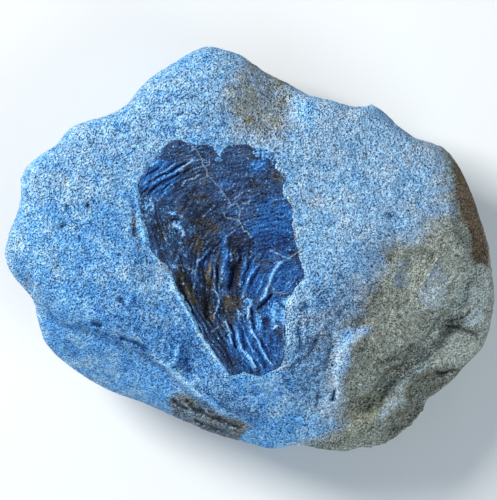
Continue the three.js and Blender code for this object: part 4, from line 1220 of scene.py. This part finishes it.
# %% The sandstone's finish
def three_tones(finish, dark, body, light, tone):
    """A colour that goes from dark over a middle to light as the tone goes from 0 to 1."""
    lower = finish.blend(colour(*dark), colour(*body), tone.step(-0.15, 0.5))
    return finish.blend(lower, colour(*light), tone.step(0.5, 1.15))


STONE_TONE = 0.57  # between dark, 0, and light, 1, on open level rock
stone = Finish("sandstone")
hollow_mm, smooth_share, olive_share = (stone.marked(name) for name in ("hollow", "smooth", "olive"))
fine = stone.noise(0.36, 3.0, 0.75, 3.0)
middling = stone.noise(1.5, 3.0, 0.6, 5.0)
gritty = stone.noise(0.5, 2.0, 0.5, 9.0)
crumb = stone.noise(0.42, 0.0, 0.5, 41.0)
cloud_small = stone.noise(1.1, 2.0, 0.6, 17.0) - 0.5
cloud_large = stone.noise(3.2, 2.0, 0.55, 23.0) - 0.5
cloud_broad = stone.noise(7.5, 2.0, 0.5, 29.0) - 0.5
cell = stone.grains(0.23)
pits = (gritty + cloud_small * 0.3).step(0.60, 0.68) * (1 - smooth_share * 0.4 - olive_share * 0.3)
contrast = 1 - smooth_share * 0.12 - olive_share.clamped() * 0.15
tone = (cell - 0.5) * 0.8 + (fine - 0.5) * 1.2 + (middling - 0.5)
# painted shade in hollows and painted highlight on rises, by how hollow the surface is
tone = tone - hollow_mm * (1.8 - olive_share * 1.1)
# the dark share is partly painted shade and partly darker patches
tone = tone * contrast + STONE_TONE - pits * 0.9 - stone.marked("dark") * 0.3 + cloud_large * 0.5
tone = tone + fine.step(0.60, 0.70) * olive_share * 0.45
# painted highlight along the rock's edge at the shell; painted shade in grooves and at ledge feet,
# painted highlight on raised edges
tone = tone + stone.marked("painted_rim_highlight") * 0.3 + stone.marked("painted_shade_and_edge_light").clamped(-0.9, 0.6) * 0.6
drift = (cloud_broad + cloud_large + cloud_small) * 1.4
patchy = 0.8 - olive_share * 0.5
# the deep blue share is painted shade; it pulls the colour towards the deepest blue, which the drift
# also reaches at random
warm = (olive_share + drift * patchy - stone.marked("deep_blue_shade") * 0.18).clamped(-0.3, 1.1)
deep_blue_and_shade_stone = three_tones(stone, (24, 66, 124), (80, 146, 210), (140, 204, 248), tone)
blue_stone = three_tones(stone, (46, 84, 126), (122, 169, 210), (174, 216, 242), tone)
grey_stone = three_tones(stone, (60, 76, 98), (134, 159, 183), (198, 218, 236), tone)
olive_stone = three_tones(stone, (60, 60, 52), (126, 131, 121), (182, 191, 185), tone)
yellow_stone = three_tones(stone, (58, 55, 40), (138, 134, 100), (196, 190, 152), tone)
brown_stone = three_tones(stone, (44, 36, 28), (112, 91, 66), (166, 152, 124), tone)
mixed = stone.blend(deep_blue_and_shade_stone, blue_stone, warm.step(-0.3, 0.22))
mixed = stone.blend(mixed, grey_stone, warm.step(0.1, 0.75))
mixed = stone.blend(mixed, olive_stone, warm.step(0.55, 1.1))
yellow_now = stone.marked("yellow") + cloud_small * 0.9
mixed = stone.blend(mixed, yellow_stone, yellow_now.step(0.1, 1.3) * 0.8)
brown_now = stone.marked("brown") + cloud_small * 1.6 + (gritty - 0.5) * 0.8
mixed = stone.blend(mixed, brown_stone, brown_now.step(0.3, 1.0) * 0.95)
flat_topped = (crumb + cloud_small * 0.3).clamped(0.0, 0.52)
stone_height = (flat_topped * 2.3 + middling * 0.6) * contrast - pits * 0.12
stone_normal = stone.bump(stone_height, 0.8)
sandstone = stone.surface(
    Base_Color=mixed, Roughness=0.92, Normal=stone_normal, Specular_IOR_Level=0.25
)
rock.data.materials.append(sandstone)
print("sandstone nodes:", len(sandstone.node_tree.nodes))

# %% [markdown]
# ### Fossil shell
#
# The shell is nearly black, stained from navy to brown, with a silky sheen. A brighter blue is painted
# where it turns towards the lamp, as a painted reflection, and sparse light specks are painted glints.
# Its plate edges carry painted highlights as thin pale lines that follow the growth lines, with painted
# shade in the grooves between. Hair cracks filled with a pale mineral cross them, and a chalky crust
# still sticks to it in places. The lines are stored on the vertices, and streaks finer than the mesh
# come from noise drawn out along the UV map.

# %% Cracks and stains of the shell
CRACKS = [
    [(-11.8, 21.3), (-10.6, 19.7), (-10, 18.6), (-9.2, 17), (-8.8, 16), (-8.4, 14.6), (-7.1, 13.4),
     (-6.5, 12.8), (-5.5, 11.5), (-4.3, 9.9), (-3.7, 8.9)],
    [(-8.8, 16.8), (-8, 17.2), (-8, 18.1)],
    [(-2.7, 9.1), (-2.1, 8.2), (-2.1, 6.6), (-2.4, 6), (-1.2, 4), (0.2, 2.3)],
    [(-5.5, 7.4), (-4.6, 6.4), (-3.7, 6.2), (-2.4, 6)],
    [(-4.7, 8.2), (-4.1, 8.8), (-2.7, 9.1)],
    [(-3, 10.3), (-1.4, 11.5)],
    [(4.1, -0.3), (5.3, -0.7), (6.5, -1.3), (7.6, -1.9), (8.2, -1.5), (9.6, -0.5)],
    [(-15.7, -3.4), (-14.3, -3), (-12.7, -3.8), (-10.8, -4.6)],
    [(3.9, -6.8), (4.6, -7.7), (4.9, -8.5), (6.5, -8.9), (7.3, -8.7)],
    [(-7.8, -16.6), (-6.4, -15.5)],
]
SHELL_TINTS = {
    "brown": [
        ((-9, 1.5), (6.5, 6), 0.3, 0.6), ((-16, 4), (3, 3.5), 0, 0.5),
        ((-12.8, -7.5), (1.4, 5), 0.45, 1.0), ((-8.6, -6), (1.4, 4.5), 0.1, 0.9),
        ((-8.8, -12), (1.6, 3.4), 0.3, 0.9), ((-3.8, -11), (1.8, 2.6), 0, 1.1),
        ((-3.1, -1.2), (0.9, 1.2), 0, 0.9), ((-12, 17), (4.5, 2.5), -0.3, 0.35),
        ((1.5, 19), (3, 1.2), 0, 0.5), ((-10, 12), (4, 3), 0, 0.6), ((0.4, 12.5), (3, 2), 0, 0.4),
        ((-7, 19.2), (0.6, 1.2), 0, 1.0), ((5.3, 15), (0.9, 1.6), 0.4, 0.8),
        ((-2.4, -5), (0.9, 3), 0.2, 0.6), ((0.5, -6), (2.6, 3.8), 0.2, -0.6),
    ],
    # painted reflection: brighter blue where the valve turns towards the lamp
    "blue": [
        ((4.6, 5), (4.6, 5), 0, 1.0), ((4.5, 0.5), (4.5, 2.5), 0, 0.7),
        ((1.6, 16.7), (2.2, 1.4), 0, 1.0), ((-18.5, 14.5), (4.5, 4), 0.3, 0.8),
        ((-5, -1.5), (0.8, 5), 0.1, 1.0), ((-8.8, -1), (0.8, 2.2), -0.7, 0.9),
        ((6.8, -5.2), (3, 3), 0, 1.2), ((1, -19), (5, 6), 0.3, 0.8), ((-4.5, 13.6), (3, 1), 0, 0.5),
        ((4.4, -12), (2.2, 3), 0, 1.2), ((0.5, -6), (2.6, 3.8), 0.2, 1.0),
        ((-8.6, -1.9), (1.1, 1.5), -0.5, 1.0),
    ],
    "chalky": [
        ((-15.2, 4.6), (2.2, 2.6), 0, 0.3), ((-20.8, 8.4), (1.1, 3.0), 0, 0.4),
        ((-13.9, 0.2), (0.7, 2.2), 0.3, 0.4), ((-18.6, 0.4), (1.4, 1.2), 0, 0.2),
        ((8, -10.3), (1.8, 0.9), 0, 1.2), ((1.75, -14.8), (0.55, 1.8), 0, 1.2),
        ((4.6, -11.8), (1.8, 1.8), 0, 0.5), ((5.3, -15.5), (0.8, 0.5), 0, 0.9),
        ((-1.6, -12.6), (1.2, 1.6), 0, 0.45), ((-5.4, -5.2), (0.5, 1.5), 0, 0.5),
        ((6.6, -13.4), (0.9, 2), 0, 0.8), ((3, 19), (2.4, 1.1), -0.2, 0.6),
        ((5.3, 17.6), (0.7, 1.1), 0, 0.8), ((-6.4, 18.1), (0.8, 0.5), 0, 0.6),
        ((-15.3, -3.4), (0.6, 0.5), 0, 1.2), ((1.6, 16.7), (2.2, 1.4), 0, 0.3),
        ((4.9, -13), (0.9, 2), 0, 0.9), ((-0.4, -10.4), (1, 0.6), 0, 0.8),
        ((-15.6, 7.2), (0.9, 0.3), 0, 1.0), ((-14.4, 4.6), (1.2, 0.5), -0.4, 1.0),
    ],
    # painted shade, mostly over the shaded left part of the bowl and in its grooves
    "dark": [
        ((-9.5, 7.5), (4.5, 4), 0, 0.8), ((-3.2, -5.8), (0.8, 3), -0.15, 1.0),
        ((-18.6, 5), (1.1, 4), 0, 0.6), ((-9, -11), (1.2, 4.5), 0.2, 0.6), ((5, -19), (1.7, 3), 0, 0.8),
        ((3.2, -14.6), (0.7, 0.7), 0, 1.2), ((-9.5, 0.5), (4.5, 3), 0, 0.8),
        ((3, -10.6), (1, 0.6), -0.8, 0.8), ((-1.6, 1.4), (2.2, 2.4), 0, 1.4),
        ((4.5, 1.6), (4.5, 2.6), 0, 1.0), ((-3.3, -5.6), (0.9, 3), 0.1, 1.2),
        ((1.4, 12), (3, 2.6), 0, 0.35), ((0, -6), (2.6, 3.4), 0.2, 0.4),
        ((-4, -11), (1.8, 2.6), 0, 0.8), ((-12.8, -7.5), (1.4, 4), 0.4, 0.6),
        ((-7.8, -6.5), (1.3, 3.5), 0, 0.4), ((-6, -21), (2, 5), 0.55, 0.4),
    ],
}

# %% [markdown]
# A hair crack is finer than the cells of the mesh, so it is drawn about as wide as one cell, the
# least that numbers on vertices can carry. It wavers a little, as a break does.

# %% Stain the shell
CRACK_HALF_WIDTH = 0.09  # mm

spots = places(valve)
drawn = spots + 0.2 * sway(spots, 0.9, (81, 81))
vein = np.zeros(len(spots))
for route in CRACKS:
    off_crack = off_line(drawn, route)[0]
    vein = np.maximum(vein, np.exp(-((off_crack / CRACK_HALF_WIDTH) ** 2)))
share = {name: np.zeros(len(spots)) for name in SHELL_TINTS}
tint(share, SHELL_TINTS, spots, 82)
mark(valve, "vein", vein)
for name, values in share.items():
    mark(valve, name, np.clip(values, -1, MOST_TINT))
print("cracks:", len(CRACKS), "patches:", sum(len(patches) for patches in SHELL_TINTS.values()))

# %% The shell's finish
LINE_LENGTH, WAY_IN = 66, 22  # mm that the UV map's two sides stand for
SHELL_TONE = 0.30  # between dark, 0, and light, 1, where nothing else is drawn
shell = Finish("fossil_shell_finish")
unit_uv = add_node(shell.tree, "ShaderNodeTexCoord", {}, {}, "UV")
to_mm = {"Vector": unit_uv, "Scale": (LINE_LENGTH * MM, WAY_IN * MM, 1)}
growth = add_node(shell.tree, "ShaderNodeMapping", {}, to_mm, "Vector")
streak = shell.noise((5.0, 0.6, 1), 2.0, 0.6, 0.0, growth)
grit = shell.noise(0.45, 2.0, 0.6, 6.0)
speck = shell.noise(0.6, 2.0, 0.6, 12.0)
crumb = shell.noise(0.40, 0.0, 0.5, 44.0)
mottle = shell.noise(2.4, 3.0, 0.6, 15.0)
drift = shell.noise(3.4, 3.0, 0.6, 21.0)
dots = shell.grains(0.25)
glow = shell.marked("glow")
tone = (streak - 0.5) * 1.3 + (grit - 0.5) * 1.2 + (dots - 0.5) * 0.4 + (mottle - 0.5) * 0.7
# sparse light specks are painted glints; the hollow measure and the dark share are painted shade
tone = tone + speck.step(0.66, 0.74) * 0.12 - shell.marked("hollow") * 1.6 - shell.marked("dark") * 0.26
# painted highlight on plate edges and line crests, painted shade in their grooves
tone = tone + shell.marked("edge") * 0.42 + glow.clamped(-1, 1.1) * (0.35 + grit * 0.5) + SHELL_TONE
navy = three_tones(shell, (10, 20, 42), (46, 74, 114), (122, 166, 210), tone)
# the brighter blue of the painted reflection
painted_reflection_blue = three_tones(shell, (6, 34, 84), (32, 97, 164), (114, 178, 234), tone)
dull = three_tones(shell, (17, 16, 16), (67, 62, 53), (146, 143, 128), tone)
ochre = three_tones(shell, (40, 34, 22), (94, 86, 62), (160, 154, 124), tone)
pale = three_tones(shell, (40, 88, 144), (100, 168, 226), (176, 220, 250), tone + 0.15)
stain = (shell.marked("brown") + (drift - 0.5) * 2.6 + (grit - 0.5) * 1.2).step(0.15, 1.1)
# painted reflection, laid where the blue share is high
painted_blue_reflection = (shell.marked("blue") + (mottle - 0.5) * 1.6).step(0.0, 0.8)
tinted = shell.blend(shell.blend(navy, painted_reflection_blue, painted_blue_reflection), dull, stain * 0.85)
tinted = shell.blend(tinted, ochre, (shell.marked("gold") * (0.3 + grit * 1.1)).clamped(0, 0.85))
# painted highlight: pale flecks along the lightest drawn lines
painted_highlight_flecks = (glow * (0.2 + speck * 1.2)).step(0.5, 1.05) * 0.6
chalk = (shell.marked("chalky") + (speck - 0.5) * 2.4 + (crumb - 0.5) * 0.8).step(0.25, 0.7)
tinted = shell.blend(tinted, pale, painted_highlight_flecks)
tinted = shell.blend(tinted, pale, chalk * 0.95)
veined = shell.blend(tinted, colour(150, 172, 198), shell.marked("vein") * (grit * 1.6).clamped())
shell_height = crumb * 0.9 + streak * 0.8 + speck * 0.4
shell_normal = shell.bump(shell_height, 0.45)
shell_finish = shell.surface(
    Base_Color=veined, Roughness=0.5 + grit * 0.3, Normal=shell_normal, Specular_IOR_Level=0.22
)
valve.data.materials.append(shell_finish)
print("shell nodes:", len(shell_finish.node_tree.nodes))

# %% [markdown]
# ## Tie the pieces to the frame
#
# Each piece stands for its CAD node, which is then hidden, and rides on the one body.

# %% Bodies and replaced nodes
for piece, node, slot in ((rock, "stone_matrix", "stone"), (valve, "fossil_shell", "shell")):
    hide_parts(node)
    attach(piece, "root")
    print(piece.name, "stands for", node, "with", triangles(piece), "triangles")

# %% [markdown]
# ## Floor, light and camera
#
# The stone lies on a pale floor and is seen from straight above. One large soft lamp at the upper
# left does most of the work, low enough to draw out the relief. Daylight from all round is
# bluish. A weak lamp from the lower right keeps the shaded slopes readable, and a second one,
# very low, catches only the steep facets there.

# %% Stage
bpy.ops.object.select_all(action="DESELECT")
bpy.ops.mesh.primitive_plane_add(size=3.0)
floor = bpy.context.object
floor.name = "floor"
pale = Finish("pale_floor")
pale_tint = pale.blend(colour(226, 226, 224), colour(220, 220, 219), pale.noise(60.0, 3.0, 0.5))
floor.data.materials.append(pale.surface(Base_Color=pale_tint, Roughness=0.8))


HEART = Vector((0, 0, 0.015))  # m, the middle of the stone


def lamp(name, place, size, power, hue):
    """A square soft lamp that looks at the middle of the stone."""
    light_data = bpy.data.lights.new(name, "AREA")
    light_data.shape, light_data.size = "SQUARE", size
    light_data.energy, light_data.color = power, hue
    holder = bpy.data.objects.new(name, light_data)
    bpy.context.scene.collection.objects.link(holder)
    holder.location = place
    holder.rotation_euler = (HEART - Vector(place)).to_track_quat("-Z", "Y").to_euler()


lamp("key", (-0.54, 0.36, 0.42), 0.28, 9.5, (1.0, 0.99, 0.975))
lamp("fill", (0.45, -0.40, 0.40), 0.50, 2.4, (0.82, 0.91, 1.0))
lamp("low", (0.62, -0.46, 0.16), 0.40, 2.6, (0.86, 0.93, 1.0))
world = bpy.data.worlds.new("room")
world.use_nodes = True
daylight = world.node_tree.nodes["Background"].inputs
daylight["Color"].default_value = (0.68, 0.85, 1.0, 1.0)
daylight["Strength"].default_value = 0.30
bpy.context.scene.world = world
bpy.context.scene.view_settings.view_transform = "Standard"
print("lamps:", [light.name for light in bpy.data.lights])

# %% Camera
SENSOR = 36  # mm
DISTANCE = 0.70  # m above the table
FRAME_WIDTH = 0.1023  # m seen across at the stone's widest line
WIDEST = 0.0125  # m, height of that line
camera_data = bpy.data.cameras.new("camera")
camera_data.sensor_width = SENSOR
camera_data.lens = SENSOR * (DISTANCE - WIDEST) / FRAME_WIDTH
camera = bpy.data.objects.new("camera", camera_data)
camera.location = (-0.0003, -0.0001, DISTANCE)
bpy.context.scene.collection.objects.link(camera)
bpy.context.scene.camera = camera
print("lens:", round(camera_data.lens, 1), "mm")
